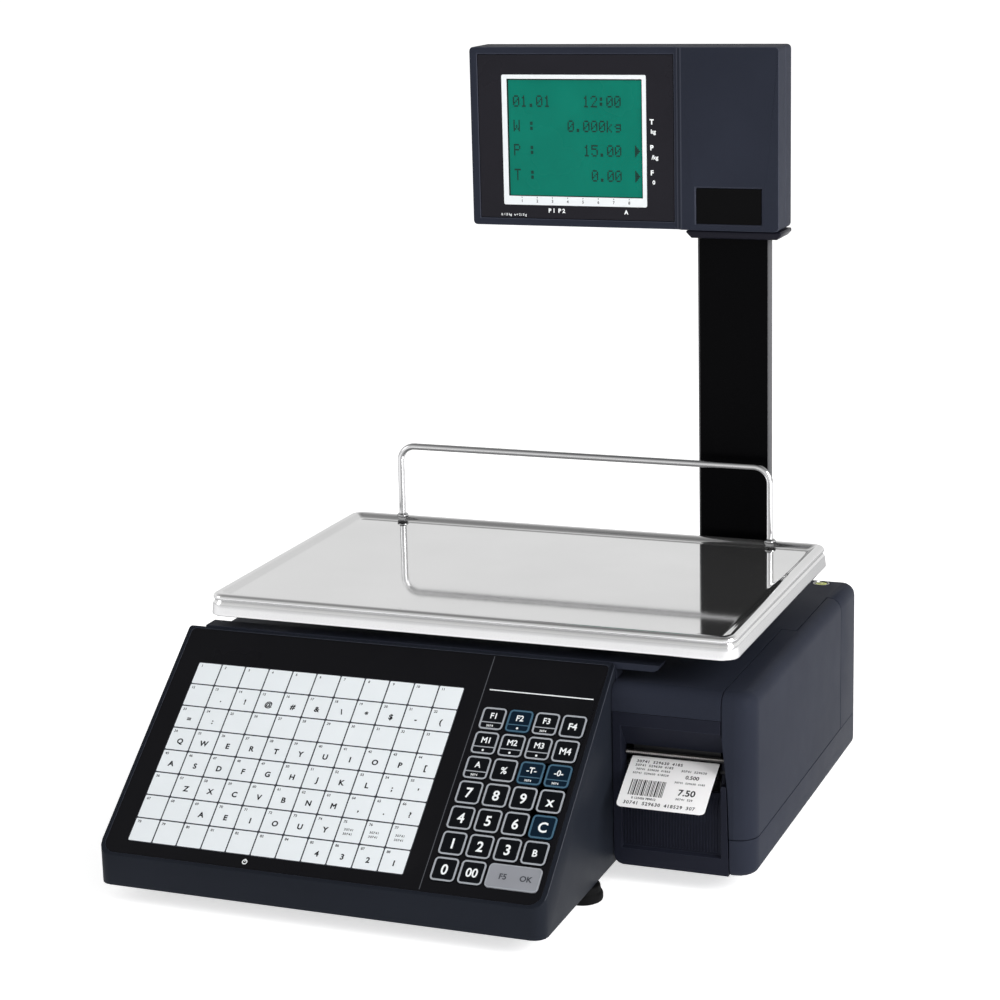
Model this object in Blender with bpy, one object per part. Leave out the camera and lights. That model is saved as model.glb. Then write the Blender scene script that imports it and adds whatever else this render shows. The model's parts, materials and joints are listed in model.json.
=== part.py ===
"""Label printing scale: case with a sloped keyboard, a label printer behind a side door, a platter
over a load cell, and a display head on a pole.

Run with: blender --background --python part.py

Sizes are in millimetres. X runs to the right from the case's left side, Y back from the keyboard's
front edge, Z up from the counter. world() turns them into metres about the object's origin, which is
the middle of its footprint, on the counter.
"""
import math

import bmesh
import bpy
from mathutils import Matrix, Vector

MM = 0.001

# Driving sizes
WIDTH = 412.0
DEPTH = 424.0
GAP = 0.35            # between two pieces that touch or pass each other
WALL = 2.5            # moulded case wall
ARC_STEPS = 4         # facets in a quarter turn of a case corner

# Case
CASE_BOTTOM = 12.0
CASE_SEAM = 38.0      # lower case below, upper case and door above
DECK_TOP = 138.0
CASE_BACK = 422.5
PRINTER_FRONT = 135.0
CASE_CORNERS = (10.0, 14.0, 10.0, 10.0)   # front left, front right, back right, back left
DECK_EDGE = 9.0       # rounding between the deck and the sides
BOTTOM_EDGE = 6.0     # rounding between the floor and the sides
LIP = (12.0, 345.0, 145.0, 149.5)         # plate behind the keyboard: x from, x to, z from, z to
LIP_BACK = 160.0
CASE_FRONT_LEFT = 146.0                   # front wall behind the keyboard

# Keyboard housing: a wedge whose slope carries the overlay
KEYBOARD_WIDTH = 315.0
NOSE_TOP = 33.3
SLOPE_BACK = 145.4
SLOPE_TOP = 148.9
SLOPE = math.atan2(SLOPE_TOP - NOSE_TOP, SLOPE_BACK)
HOUSING_CORNER = 9.0  # front corners in plan
HOUSING_EDGE = 2.2
OVERLAY = (3.4, 311.2, 2.8, 183.4)        # x from, x to, up the slope from, to
OVERLAY_THICK = 1.6
POCKET_DEPTH = 1.9
SHEET = (18.4, 217.0, 12.3, 155.9)        # speed-key sheet, same order
SHEET_DEPTH = 0.9
SHEET_THICK = 0.5

# Function keys: a grid of four columns and seven rows at the right of the overlay
KEY_SIZE = (17.2, 17.5)
KEY_PITCH = (18.6, 19.0)
KEY_GRID_LEFT = 234.8
KEY_GRID_TOP = 142.6
KEY_RADIUS = 3.0
KEY_CLEARANCE = 0.3
KEY_RISE = 0.4        # key face above the overlay
KEY_THICK = 1.3
KEY_NAMES = (
    ("shift", "lookup", "menu", "feed"),
    ("memo_1", "memo_2", "memo_3", "memo_4"),
    ("clerk", "percent", "tare", "zero_set"),
    ("7", "8", "9", "multiply"),
    ("4", "5", "6", "clear"),
    ("1", "2", "3", "auto"),
    ("0", "00", "print", None),           # the print key is two columns wide
)

# Feet
FOOT_SPOTS = {"front_left": (22.0, 100.0), "front_right": (305.5, 100.0),
              "rear_left": (30.0, 392.0), "rear_right": (382.0, 392.0)}
FOOT_RADIUS = 13.5
FOOT_HEIGHT = 11.0
STUD_RADIUS = 4.0
STUD_TOP = 28.0

# Weighing
PLATTER = (13.8, 397.0, 144.5, 396.5)     # x from, x to, y from, y to
PLATTER_CORNER = 12.0
PLATTER_PROFILE = ((15.0, 169.4), (12.5, 169.5), (10.3, 170.6), (8.4, 171.9), (6.2, 172.5),
                   (4.0, 172.2), (2.4, 170.9), (1.6, 168.6), (0.6, 161.0), (0.0, 157.2))
PLATTER_THICK = 1.0
RAIL_X = (58.5, 353.5)
RAIL_Y = 389.9
RAIL_TOP = 228.0
RAIL_RADIUS = 2.5
RAIL_BEND = 12.0
CELL = (141.0, 271.0, 255.0, 285.0, 70.0, 100.0)
STEM = (248.0, 270.0, 258.0, 282.0)
CARRIER = (158.0, 168.0)                  # z from, z to
CARRIER_SPAN = (45.0, 367.0)
CARRIER_ARMS = (72.0, 340.0)              # middles of the two arms, in x
CARRIER_ARM_REACH = (168.0, 373.0)
ARM_HALF_WIDTH = 13.0

# Spirit level
LEVEL = (388.0, 408.0)                    # x, y of its middle
LEVEL_RADIUS = 6.5
LEVEL_BOTTOM = 132.0

# Printer door and cartridge
DOOR_SEAM_X = 390.0
DOOR_NARROW_X = 401.0
DOOR_STEP_Y = 286.0
DOOR_BACK = 372.0
BAY_LEFT = 318.0
CARTRIDGE_TOP = 119.0
CARTRIDGE_LEFT = 315.8
SEAM_LINE = ((395.2, 12.0), (394.9, 38.0), (393.8, 70.0), (390.0, 108.0), (390.0, 119.6))
BAND_INSET = 0.5      # cartridge edge to the seam line
RECESS_LEFT = 321.3
RECESS_DEPTH = 11.9   # depth of the cartridge front, and of its recess
POST_LEFT = 389.6     # post to the right of the roller
FRAME_LEFT = BAY_LEFT + 0.6
FRAME_RIGHT = 389.2
FRAME_FLOOR = 15.0
FRAME_BACK = 330.0
FRAME_WALL = 2.5
PEG_END = 384.0       # free end of the roll's and the reel's pegs
PLATEN = (150.0, 80.0, 6.0)               # y, z, radius
ROLL = (290.0, 53.0, 32.0, 12.5)          # y, z, outer radius, core radius
ROLL_SPAN = (323.0, 382.0)                # x from, x to
REEL = (205.0, 50.0, 20.0, 10.0)          # y, z, flange radius, hub radius
REEL_SPAN = (322.5, 383.0)
REEL_FLANGE = 2.5
REEL_BORE = 6.2
PLATEN_SPAN = (318.0, 391.0)
PLATEN_RUBBER = (324.0, 385.5)
PLATEN_SHAFT = 2.5
TEAR_BAR_SPAN = (321.8, 391.0)
TEAR_BAR = (7.6, 11.6, 87.7, 90.2)        # y behind the printer's front from, to, z from, to
HEAD_PIVOT = (188.0, 96.0)
HEAD_SHAFT = 3.0
HEAD_BARREL = 6.0
HEAD_BODY = (148.6, 172.0, 98.0)          # y from, y to, top
LABEL_WIDTH = (326.0, 386.0)
LABEL_PATH = ((146.2, 86.1), (109.0, 63.9))
LABEL_THICK = 0.35

# Pole and display head
POLE = (295.0, 349.0, 403.8, 414.4)
POLE_BOTTOM = 18.0
POLE_TOP = 500.0
HEAD = (124.0, 360.0, 401.5, 532.7)       # x from, x to, z from, z to
HEAD_FRONT = 390.0
HEAD_BACK = DEPTH
HEAD_SPLIT = 408.5
PANEL_SETBACK = 2.0                       # display panel behind the block's face
BLOCK_LEFT = 284.0
WINDOW = (130.5, 281.0, 407.3, 527.0)
LCD = (152.0, 259.5, 417.3, 512.5)
BADGE = (298.0, 347.5, 405.8, 432.6)
REAR_WINDOW_DEPTH = 1.6                   # pocket for the customer's display, behind the front one

# Electrics: the board on its bosses, and the sockets in the back wall
BOARD = (22.0, 132.0, 162.0, 298.0, 24.0, 25.6)
INLET = (60.0, 88.0, 50.0, 72.0)
SWITCH = (104.0, 118.0, 50.5, 73.5)


def world(x, y, z):
    """A place in the drawing's millimetres, in metres about the object's origin."""
    return Vector(((x - WIDTH / 2) * MM, (y - DEPTH / 2) * MM, z * MM))


def clear_scene():
    for item in list(bpy.data.objects):
        bpy.data.objects.remove(item, do_unlink=True)


def material(name, colour, roughness=0.5, metallic=0.0):
    finish = bpy.data.materials.new(name)
    finish.use_nodes = True
    shader = finish.node_tree.nodes["Principled BSDF"]
    shader.inputs["Base Color"].default_value = (*colour, 1.0)
    shader.inputs["Roughness"].default_value = roughness
    shader.inputs["Metallic"].default_value = metallic
    return finish


def loft(name, rings, finish=None, smooth=0.0):
    """One closed body through rings of equal length, with a flat cap at each end."""
    mesh = bpy.data.meshes.new(name)
    build = bmesh.new()
    rows = [[build.verts.new(world(*spot)) for spot in ring] for ring in rings]
    count = len(rows[0])
    for low, high in zip(rows, rows[1:]):
        for i in range(count):
            k = (i + 1) % count
            build.faces.new((low[i], low[k], high[k], high[i]))
    build.faces.new(list(reversed(rows[0])))
    build.faces.new(rows[-1])
    bmesh.ops.recalc_face_normals(build, faces=build.faces)
    build.to_mesh(mesh)
    build.free()
    if smooth:
        mesh.shade_smooth()
        mesh.set_sharp_from_angle(angle=math.radians(smooth))
    piece = bpy.data.objects.new(name, mesh)
    bpy.context.scene.collection.objects.link(piece)
    if finish:
        mesh.materials.append(finish)
    return piece


def prism(name, outline, axis, start, end, finish=None, smooth=0.0):
    """An outline pushed along an axis. The outline is (y, z) for X, (x, z) for Y and (x, y) for Z."""
    def ring(place):
        if axis == "X":
            return [(place, a, b) for a, b in outline]
        if axis == "Y":
            return [(a, place, b) for a, b in outline]
        return [(a, b, place) for a, b in outline]
    return loft(name, [ring(start), ring(end)], finish, smooth)


def block(name, x0, x1, y0, y1, z0, z1, finish=None):
    return prism(name, [(x0, y0), (x1, y0), (x1, y1), (x0, y1)], "Z", z0, z1, finish)


def rounded(x0, x1, y0, y1, radii, steps=ARC_STEPS):
    """Rectangle outline with a radius at each corner: low-low, high-low, high-high, low-high."""
    centres = ((x0, y0, 1, 1, 180), (x1, y0, -1, 1, 270), (x1, y1, -1, -1, 0), (x0, y1, 1, -1, 90))
    outline = []
    for (cx, cy, sx, sy, turn), radius in zip(centres, radii):
        for i in range(steps + 1):
            angle = math.radians(turn + 90.0 * i / steps)
            outline.append((cx + sx * radius + radius * math.cos(angle),
                            cy + sy * radius + radius * math.sin(angle)))
    return outline


def circle(y, z, radius, steps=24):
    return [(y + radius * math.cos(2 * math.pi * i / steps), z + radius * math.sin(2 * math.pi * i / steps))
            for i in range(steps)]


def rod(name, axis, first, second, radius, start, end, finish=None, steps=24):
    return prism(name, circle(first, second, radius, steps), axis, start, end, finish, smooth=40.0)


def as_tool(piece):
    """Hide a cutter or an added shape: only the body it changes is part of the scale."""
    piece.hide_render = True
    piece.display_type = "WIRE"
    return piece


def combine(target, operation, tools):
    for tool in tools:
        change = target.modifiers.new(tool.name, "BOOLEAN")
        change.operation = operation
        change.object = as_tool(tool)
    return target


def cut(target, *tools):
    return combine(target, "DIFFERENCE", tools)


def join(target, *tools):
    return combine(target, "UNION", tools)


def keep(target, tool):
    return combine(target, "INTERSECT", [tool])


def soften(piece, width, segments=2):
    """Round the piece's sharp edges."""
    edge = piece.modifiers.new("edges", "BEVEL")
    edge.width = width * MM
    edge.segments = segments
    edge.limit_method = "ANGLE"
    edge.angle_limit = math.radians(50)
    return piece


def set_origin(piece, x, y, z):
    """Put the object's origin on its joint's axis, leaving its shape where it is."""
    spot = world(x, y, z)
    piece.data.transform(Matrix.Translation(-spot))
    piece.location = spot


def case_block(name, inset, z0, z1, x0=0.0, x1=WIDTH, y0=PRINTER_FRONT, y1=CASE_BACK, corners=CASE_CORNERS,
               under=0.0):
    """The case's outer form, inset on every side by a wall, with a rounded deck edge and underside."""
    rings = []
    radii = [max(radius - inset, 0.5) for radius in corners]
    edge = DECK_EDGE - inset
    if under:
        for i in range(ARC_STEPS):
            turn = math.radians(90.0 * i / ARC_STEPS)
            rings.append((under * (1 - math.sin(turn)), z0 + under * (1 - math.cos(turn))))
    rings.append((0.0, z0 + under))
    for i in range(ARC_STEPS + 1):
        turn = math.radians(90.0 * i / ARC_STEPS)
        rings.append((edge * (1 - math.cos(turn)), z1 - edge * (1 - math.sin(turn))))
    sides = (x0 + inset, x1 - inset, y0 + inset, y1 - inset)
    loops = []
    for narrow, z in rings:
        corner = [max(radius - narrow, 0.4) for radius in radii]
        outline = rounded(sides[0] + narrow, sides[1] - narrow, sides[2] + narrow, sides[3] - narrow, corner)
        loops.append([(x, y, z) for x, y in outline])
    return loft(name, loops, smooth=35.0)


def door_plan(shift):
    """Plan of the door's ground, its edge drawn in by shift."""
    return [(DOOR_SEAM_X + shift, PRINTER_FRONT - 10), (WIDTH + 10, PRINTER_FRONT - 10),
            (WIDTH + 10, DOOR_BACK - shift), (DOOR_NARROW_X + shift, DOOR_BACK - shift),
            (DOOR_NARROW_X + shift, DOOR_STEP_Y - shift), (DOOR_SEAM_X + shift, DOOR_STEP_Y - shift)]


def on_slope(x, up, out):
    """A place on the keyboard's slope: up the slope from its front edge, and out from its face."""
    back = up * math.cos(SLOPE) - out * math.sin(SLOPE)
    return (x, back, NOSE_TOP + up * math.sin(SLOPE) + out * math.cos(SLOPE))


def slope_plate(name, outline, low, high, finish=None):
    """A plate on the slope, from an outline of (x, up the slope) and two heights out of its face."""
    rings = [[on_slope(x, up, out) for x, up in outline] for out in (low, high)]
    return loft(name, rings, finish, smooth=35.0)


def make_upper_case(finish):
    """Deck, sides and back, open where the keyboard, the cartridge and the door go."""
    case = case_block("upper_case", 0.0, CASE_SEAM + GAP, DECK_TOP)
    case.data.materials.append(finish)
    low = CASE_SEAM - 5
    roof = DECK_TOP - WALL
    cut(case,
        case_block("case_hollow", WALL, low, roof, x1=BAY_LEFT, y0=CASE_FRONT_LEFT, corners=(3, 3, 3, 10)),
        case_block("bay_hollow", WALL, low, roof, x0=BAY_LEFT - WALL, y1=DOOR_BACK + 1.5, corners=(3, 14, 3, 3)),
        case_block("corner_hollow", WALL, low, roof, x0=BAY_LEFT - 20, y0=DOOR_BACK + 1.5,
                   corners=(3, 3, 10, 3)),
        block("keyboard_ground", -5, KEYBOARD_WIDTH + GAP, 120, CASE_FRONT_LEFT, low, DECK_TOP + 5),
        block("cartridge_mouth", KEYBOARD_WIDTH - 5, DOOR_SEAM_X + 1, 120, PRINTER_FRONT + WALL + GAP,
              low, CARTRIDGE_TOP + GAP),
        prism("door_ground", door_plan(-GAP / 2), "Z", low, DECK_TOP + 5))
    left, right, low_lip, high_lip = LIP
    join(case,
         block("lip_foot", left, KEYBOARD_WIDTH, CASE_FRONT_LEFT + GAP, LIP_BACK, DECK_TOP - 1, high_lip - 1),
         prism("deck_lip", [(left, low_lip), (right - 4, low_lip), (right - 1, low_lip + 1.5), (right, high_lip),
                            (left, high_lip)], "Y", CASE_FRONT_LEFT + GAP, LIP_BACK),
         rod("print_head_shaft", "X", *HEAD_PIVOT, HEAD_SHAFT, BAY_LEFT - 1, DOOR_SEAM_X, steps=16))
    cut(case,
        block("stem_hole", STEM[0] - 5, STEM[1] + 5, STEM[2] - 5, STEM[3] + 5, roof - 2, DECK_TOP + 2),
        block("pole_slot", POLE[0] - GAP, POLE[1] + GAP, POLE[2] - GAP, POLE[3] + GAP, roof - 2, DECK_TOP + 2),
        rod("level_hole", "Z", *LEVEL, LEVEL_RADIUS + 0.4, roof - 2, DECK_TOP + 2),
        block("inlet_hole", INLET[0], INLET[1], 415, 430, INLET[2], INLET[3]),
        block("switch_hole", SWITCH[0], SWITCH[1], 415, 430, SWITCH[2], SWITCH[3]))
    return case


def make_lower_case(finish):
    """The tray under everything, with the load cell's foot and the board's bosses."""
    tray = case_block("lower_case", 0.0, CASE_BOTTOM, DECK_TOP, under=BOTTOM_EDGE)
    tray.data.materials.append(finish)
    floor = CASE_BOTTOM + WALL
    cut(tray,
        block("above_seam", -5, WIDTH + 5, 100, DEPTH + 10, CASE_SEAM, DECK_TOP + 5),
        block("keyboard_ground_low", -5, KEYBOARD_WIDTH + GAP, 120, CASE_FRONT_LEFT, 0, DECK_TOP),
        case_block("tray_hollow", WALL, floor, DECK_TOP, x1=BAY_LEFT + 12, y0=CASE_FRONT_LEFT,
                   corners=(3, 3, 3, 10), under=BOTTOM_EDGE - WALL),
        case_block("tray_bay", WALL, floor, DECK_TOP, x0=BAY_LEFT - WALL - 6, corners=(3, 14, 10, 3),
                   under=BOTTOM_EDGE - WALL),
        prism("cartridge_mouth_low", [(KEYBOARD_WIDTH - 5, 0), (395.2, 0), (395.2, 12), (394.9, 40),
                                      (KEYBOARD_WIDTH - 5, 40)], "Y", 120, 147.2))
    cell_foot = block("cell_foot", CELL[0] - 2, CELL[0] + 27, CELL[2] - 3, CELL[3] + 3, floor - 1, CELL[4] - GAP)
    bosses = [rod("board_boss_%d_%d" % (x, y), "Z", x, y, 4.0, floor - 1, BOARD[4] - GAP, steps=12)
              for x in (BOARD[0] + 8, BOARD[1] - 8) for y in (BOARD[2] + 8, BOARD[3] - 8)]
    join(tray, cell_foot, *bosses)
    cut(tray, *[rod("stud_hole_low_" + spot, "Z", *FOOT_SPOTS[spot], STUD_RADIUS + 0.4, 5, 20, steps=16)
                for spot in ("rear_left", "rear_right")])
    return tray


def make_keyboard_housing(finish):
    """The wedge at the front, hollow, with a pocket for the overlay in its slope."""
    outer = [(0.0, CASE_BOTTOM), (0.0, NOSE_TOP), (SLOPE_BACK, SLOPE_TOP), (SLOPE_BACK, CASE_BOTTOM)]
    housing = prism("keyboard_housing", outer, "X", 0.0, KEYBOARD_WIDTH, finish)
    plan = rounded(0.0, KEYBOARD_WIDTH, 0.0, SLOPE_BACK, [HOUSING_CORNER] * 2 + [HOUSING_EDGE] * 2)
    keep(housing, prism("housing_plan", plan, "Z", 0.0, SLOPE_TOP + 5))
    soften(housing, HOUSING_EDGE, 2)
    drop = (POCKET_DEPTH + WALL) / math.cos(SLOPE)
    climb = math.tan(SLOPE)
    inner = [(WALL, CASE_BOTTOM + WALL), (WALL, NOSE_TOP - drop + WALL * climb),
             (SLOPE_BACK + 5, SLOPE_TOP - drop + 5 * climb), (SLOPE_BACK + 5, CASE_BOTTOM + WALL)]
    hollow = prism("housing_hollow", inner, "X", WALL, KEYBOARD_WIDTH - WALL)
    hollow_plan = rounded(WALL, KEYBOARD_WIDTH - WALL, WALL, SLOPE_BACK + 10,
                          [HOUSING_CORNER - WALL] * 2 + [1.0] * 2)
    keep(hollow, prism("hollow_plan", hollow_plan, "Z", 0.0, SLOPE_TOP + 20))
    x0, x1, low, high = OVERLAY
    edge = GAP
    pocket = rounded(x0 - edge, x1 + edge, low - edge, high + edge, (8 + edge, 8 + edge, 3, 3))
    cut(housing,
        hollow,
        slope_plate("overlay_pocket", pocket, -POCKET_DEPTH, 5.0),
        *[rod("stud_hole_" + spot, "Z", *FOOT_SPOTS[spot], STUD_RADIUS + 0.4, 5, 20, steps=16)
          for spot in ("front_left", "front_right")])
    return housing


def key_places():
    """Each function key's name and its rectangle on the slope."""
    places = {}
    for row, names in enumerate(KEY_NAMES):
        top = KEY_GRID_TOP - row * KEY_PITCH[1]
        for column, name in enumerate(names):
            if name is None:
                continue
            left = KEY_GRID_LEFT + column * KEY_PITCH[0]
            wide = KEY_SIZE[0] + (KEY_PITCH[0] if name == "print" else 0.0)
            places["key_" + name] = (left, left + wide, top - KEY_SIZE[1], top)
    return places


def make_overlay(finish):
    """The film over the slope, with a pocket for the speed-key sheet and a window for each key."""
    x0, x1, low, high = OVERLAY
    outline = rounded(x0, x1, low, high, (8, 8, 3, 3))
    overlay = slope_plate("keypad_overlay", outline, -OVERLAY_THICK, 0.0, finish)
    a, b, c, d = SHEET
    tools = [slope_plate("sheet_pocket", rounded(a - GAP, b + GAP, c - GAP, d + GAP, (1, 1, 1, 1), 1),
                         -SHEET_DEPTH, 2.0)]
    for name, (left, right, bottom, top) in key_places().items():
        hole = rounded(left - KEY_CLEARANCE, right + KEY_CLEARANCE, bottom - KEY_CLEARANCE, top + KEY_CLEARANCE,
                       [KEY_RADIUS + KEY_CLEARANCE] * 4, 3)
        tools.append(slope_plate("window_" + name, hole, -OVERLAY_THICK - 1, 2.0))
    return cut(overlay, *tools)


def make_keys(dark, blue, grey):
    """The function keys, each in its window."""
    for name, (left, right, bottom, top) in key_places().items():
        finish = dark
        if name in ("key_lookup", "key_tare", "key_zero_set", "key_clear"):
            finish = blue
        if name == "key_print":
            finish = grey
        outline = rounded(left, right, bottom, top, [KEY_RADIUS] * 4, 3)
        key = slope_plate(name, outline, KEY_RISE - KEY_THICK, KEY_RISE, finish)
        set_origin(key, *on_slope((left + right) / 2, (bottom + top) / 2, 0.0))


def make_feet(rubber):
    """Screw feet: a rubber foot on a threaded stud."""
    for spot, (x, y) in FOOT_SPOTS.items():
        profile = ((FOOT_RADIUS - 1, 0.0), (FOOT_RADIUS, 1.0), (FOOT_RADIUS, 4.5), (FOOT_RADIUS - 2, FOOT_HEIGHT),
                   (STUD_RADIUS, FOOT_HEIGHT), (STUD_RADIUS, STUD_TOP))
        rings = [[(x + a, y + b, z) for a, b in circle(0, 0, radius)] for radius, z in profile]
        foot = loft("foot_" + spot, rings, rubber, smooth=35.0)
        set_origin(foot, x, y, FOOT_HEIGHT)


def make_platter(steel):
    """A pressed steel pan: one profile carried round the edge, closed by its flat middle."""
    x0, x1, y0, y1 = PLATTER

    def ring(inset, z):
        corner = max(PLATTER_CORNER - inset, 3.0)
        return [(x, y, z) for x, y in rounded(x0 + inset, x1 - inset, y0 + inset, y1 - inset, [corner] * 4, 6)]
    top = [ring(inset, z) for inset, z in PLATTER_PROFILE]
    under = []
    for inset, z in reversed(PLATTER_PROFILE[:-1]):
        flat = 1.0 if inset > 5 else 0.0
        under.append(ring(inset + PLATTER_THICK * (1 - 0.3 * flat), z - PLATTER_THICK * flat))
    lip = ring(PLATTER_THICK, PLATTER_PROFILE[-1][1])
    return loft("platter", top + [lip] + under, steel, smooth=35.0)


def make_guard_rail(steel):
    """A rod bent into a low hoop along the back of the platter."""
    left, right = RAIL_X
    bend = RAIL_BEND
    base = max(z for _, z in PLATTER_PROFILE) + GAP
    route = [(left, base)]
    steps = 6
    for i in range(steps + 1):
        turn = math.radians(180 - 90.0 * i / steps)
        route.append((left + bend + bend * math.cos(turn), RAIL_TOP - bend + bend * math.sin(turn)))
    for i in range(steps + 1):
        turn = math.radians(90 - 90.0 * i / steps)
        route.append((right - bend + bend * math.cos(turn), RAIL_TOP - bend + bend * math.sin(turn)))
    route.append((right, base))
    wire = bpy.data.curves.new("guard_rail", "CURVE")
    wire.dimensions = "3D"
    wire.bevel_depth = RAIL_RADIUS * MM
    wire.bevel_resolution = 4
    wire.use_fill_caps = True
    line = wire.splines.new("POLY")
    line.points.add(len(route) - 1)
    for point, (x, z) in zip(line.points, route):
        point.co = (*world(x, RAIL_Y, z), 1.0)
    wire.materials.append(steel)
    rail = bpy.data.objects.new("guard_rail", wire)
    bpy.context.scene.collection.objects.link(rail)


def make_weighing(steel, aluminium, dark):
    """The platter and its rail, and under them the carrier on its load cell."""
    make_platter(steel)
    make_guard_rail(steel)
    x0, x1, y0, y1, z0, z1 = CELL
    cell = block("load_cell", *CELL, aluminium)
    middle = (x0 + x1) / 2
    height = (z0 + z1) / 2
    eyes = [rod("cell_eye_%d" % side, "Y", middle + side * 16, height, 9.0, y0 - 5, y1 + 5, steps=20)
            for side in (-1, 1)]
    cut(cell, *eyes, block("cell_slot", middle - 14, middle + 14, y0 - 5, y1 + 5, height - 2, height + 2))
    low, high = CARRIER
    centre = ((PLATTER[0] + PLATTER[1]) / 2, (PLATTER[2] + PLATTER[3]) / 2)
    half = ARM_HALF_WIDTH
    carrier = block("platter_carrier", *CARRIER_SPAN, centre[1] - half, centre[1] + half, low, high, dark)
    arms = [block("carrier_arm_%d" % i, x - half, x + half, *CARRIER_ARM_REACH, low + 0.5, high)
            for i, x in enumerate(CARRIER_ARMS)]
    join(carrier, *arms, block("carrier_stem", *STEM, z1 + GAP, low + 4))


def make_printer_door(finish):
    """The side door, hinged at its back edge, that wraps the front right corner."""
    door = case_block("printer_door", 0.0, CASE_SEAM + GAP / 2, DECK_TOP)
    door.data.materials.append(finish)
    door_shape = prism("door_shape", door_plan(GAP / 2), "Z", CASE_SEAM + GAP, DECK_TOP + 6)
    keep(door, door_shape)
    cut(door,
        case_block("door_hollow", WALL, 20, DECK_TOP - WALL, x0=380 - WALL, y1=DOOR_BACK + 10),
        prism("door_seam_cut", [(380, 20), (SEAM_LINE[0][0], 20)] + list(SEAM_LINE[1:-1])
              + [(DOOR_SEAM_X + GAP / 2 - 0.05, SEAM_LINE[-1][1]), (380, SEAM_LINE[-1][1])], "Y", 120, 150))
    set_origin(door, WIDTH, DOOR_BACK, (CASE_SEAM + DECK_TOP) / 2)


def cartridge_front_outline(left):
    """Front view of the cartridge front from its left edge to the seam."""
    seam = [(x - BAND_INSET, max(z, CASE_BOTTOM + 0.6)) for x, z in SEAM_LINE[:-1]]
    low = seam[0][1]
    corner = [(left, low + BOTTOM_EDGE), (left + 0.15 * BOTTOM_EDGE, low + 0.5 * BOTTOM_EDGE),
              (left + 0.5 * BOTTOM_EDGE, low + 0.15 * BOTTOM_EDGE), (left + BOTTOM_EDGE, low)]
    return corner + seam + [(DOOR_SEAM_X - BAND_INSET, CARTRIDGE_TOP), (left, CARTRIDGE_TOP)]


def make_cartridge_front(finish):
    """The panel round the label exit, with a recess behind the tear bar."""
    front = PRINTER_FRONT
    back = front + RECESS_DEPTH
    panel = front + 3
    floor = CASE_BOTTOM + 0.6
    piece = prism("cartridge_front", cartridge_front_outline(CARTRIDGE_LEFT), "Y", front, front + WALL, finish)
    deep = prism("cartridge_front_depth", cartridge_front_outline(BAY_LEFT + 0.4), "Y", front + 1, back)
    join(piece, deep)
    recess = [(front - 5, 24.3), (front, 24.3), (panel, 25.8), (panel, 50.0), (panel + 2.2, 60.0),
              (panel + 5.5, 66.5), (back + 5, 66.5), (back + 5, 94.0), (back - 1.2, 94.0), (front, 110.3),
              (front - 5, 110.3)]
    cut(piece,
        prism("exit_recess", recess, "X", RECESS_LEFT, WIDTH - 12))
    post = prism("roller_post", [(POST_LEFT, floor), (SEAM_LINE[0][0] - BAND_INSET, floor),
                                 (SEAM_LINE[2][0] - BAND_INSET, 70.0), (SEAM_LINE[2][0] - 1.0, 74.5),
                                 (POST_LEFT, 74.5)], "Y", front, front + 6)
    join(piece, post)
    return piece


def make_cartridge_frame(finish):
    """The frame behind the cartridge front: a tall left side, a low right side and two pegs."""
    front = PRINTER_FRONT + RECESS_DEPTH + 0.5
    back, left, floor, wall = FRAME_BACK, FRAME_LEFT, FRAME_FLOOR, FRAME_WALL
    top = PLATEN[1] + 5.8
    side = [(front, floor), (back, floor), (back, top), (front, top)]
    frame = prism("cartridge_frame", side, "X", left, left + wall, finish)
    right = [(front, floor), (190.0, floor), (190.0, 60.0), (165.0, top), (front, top)]
    join(frame,
         block("cartridge_floor", left + 1, FRAME_RIGHT, front, back, floor, floor + 2.6),
         prism("cartridge_right", right, "X", FRAME_RIGHT - wall, FRAME_RIGHT),
         block("cartridge_back", left + 1, FRAME_RIGHT - 3.2, back - wall, back, floor, floor + 25.0),
         rod("roll_peg", "X", ROLL[0], ROLL[1], ROLL[3] - 1.5, left + 1, PEG_END),
         rod("reel_peg", "X", REEL[0], REEL[1], REEL_BORE - 0.7, left + 1, PEG_END, steps=16))
    cut(frame, rod("platen_bore", "X", PLATEN[0], PLATEN[1], PLATEN_SHAFT + 0.4, left - 2, FRAME_RIGHT + 6,
                   steps=16))
    return frame


def make_spool(name, profile, centre, bore, finish, steps=32):
    """A turned piece along X from (x, radius) pairs, with a through bore."""
    rings = [[(x, y, z) for y, z in circle(centre[0], centre[1], radius, steps)] for x, radius in profile]
    piece = loft(name, rings, finish, smooth=35.0)
    if bore:
        cut(piece, rod(name + "_bore", "X", centre[0], centre[1], bore, profile[0][0] - 5, profile[-1][0] + 5))
    set_origin(piece, (profile[0][0] + profile[-1][0]) / 2, *centre)
    return piece


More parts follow.
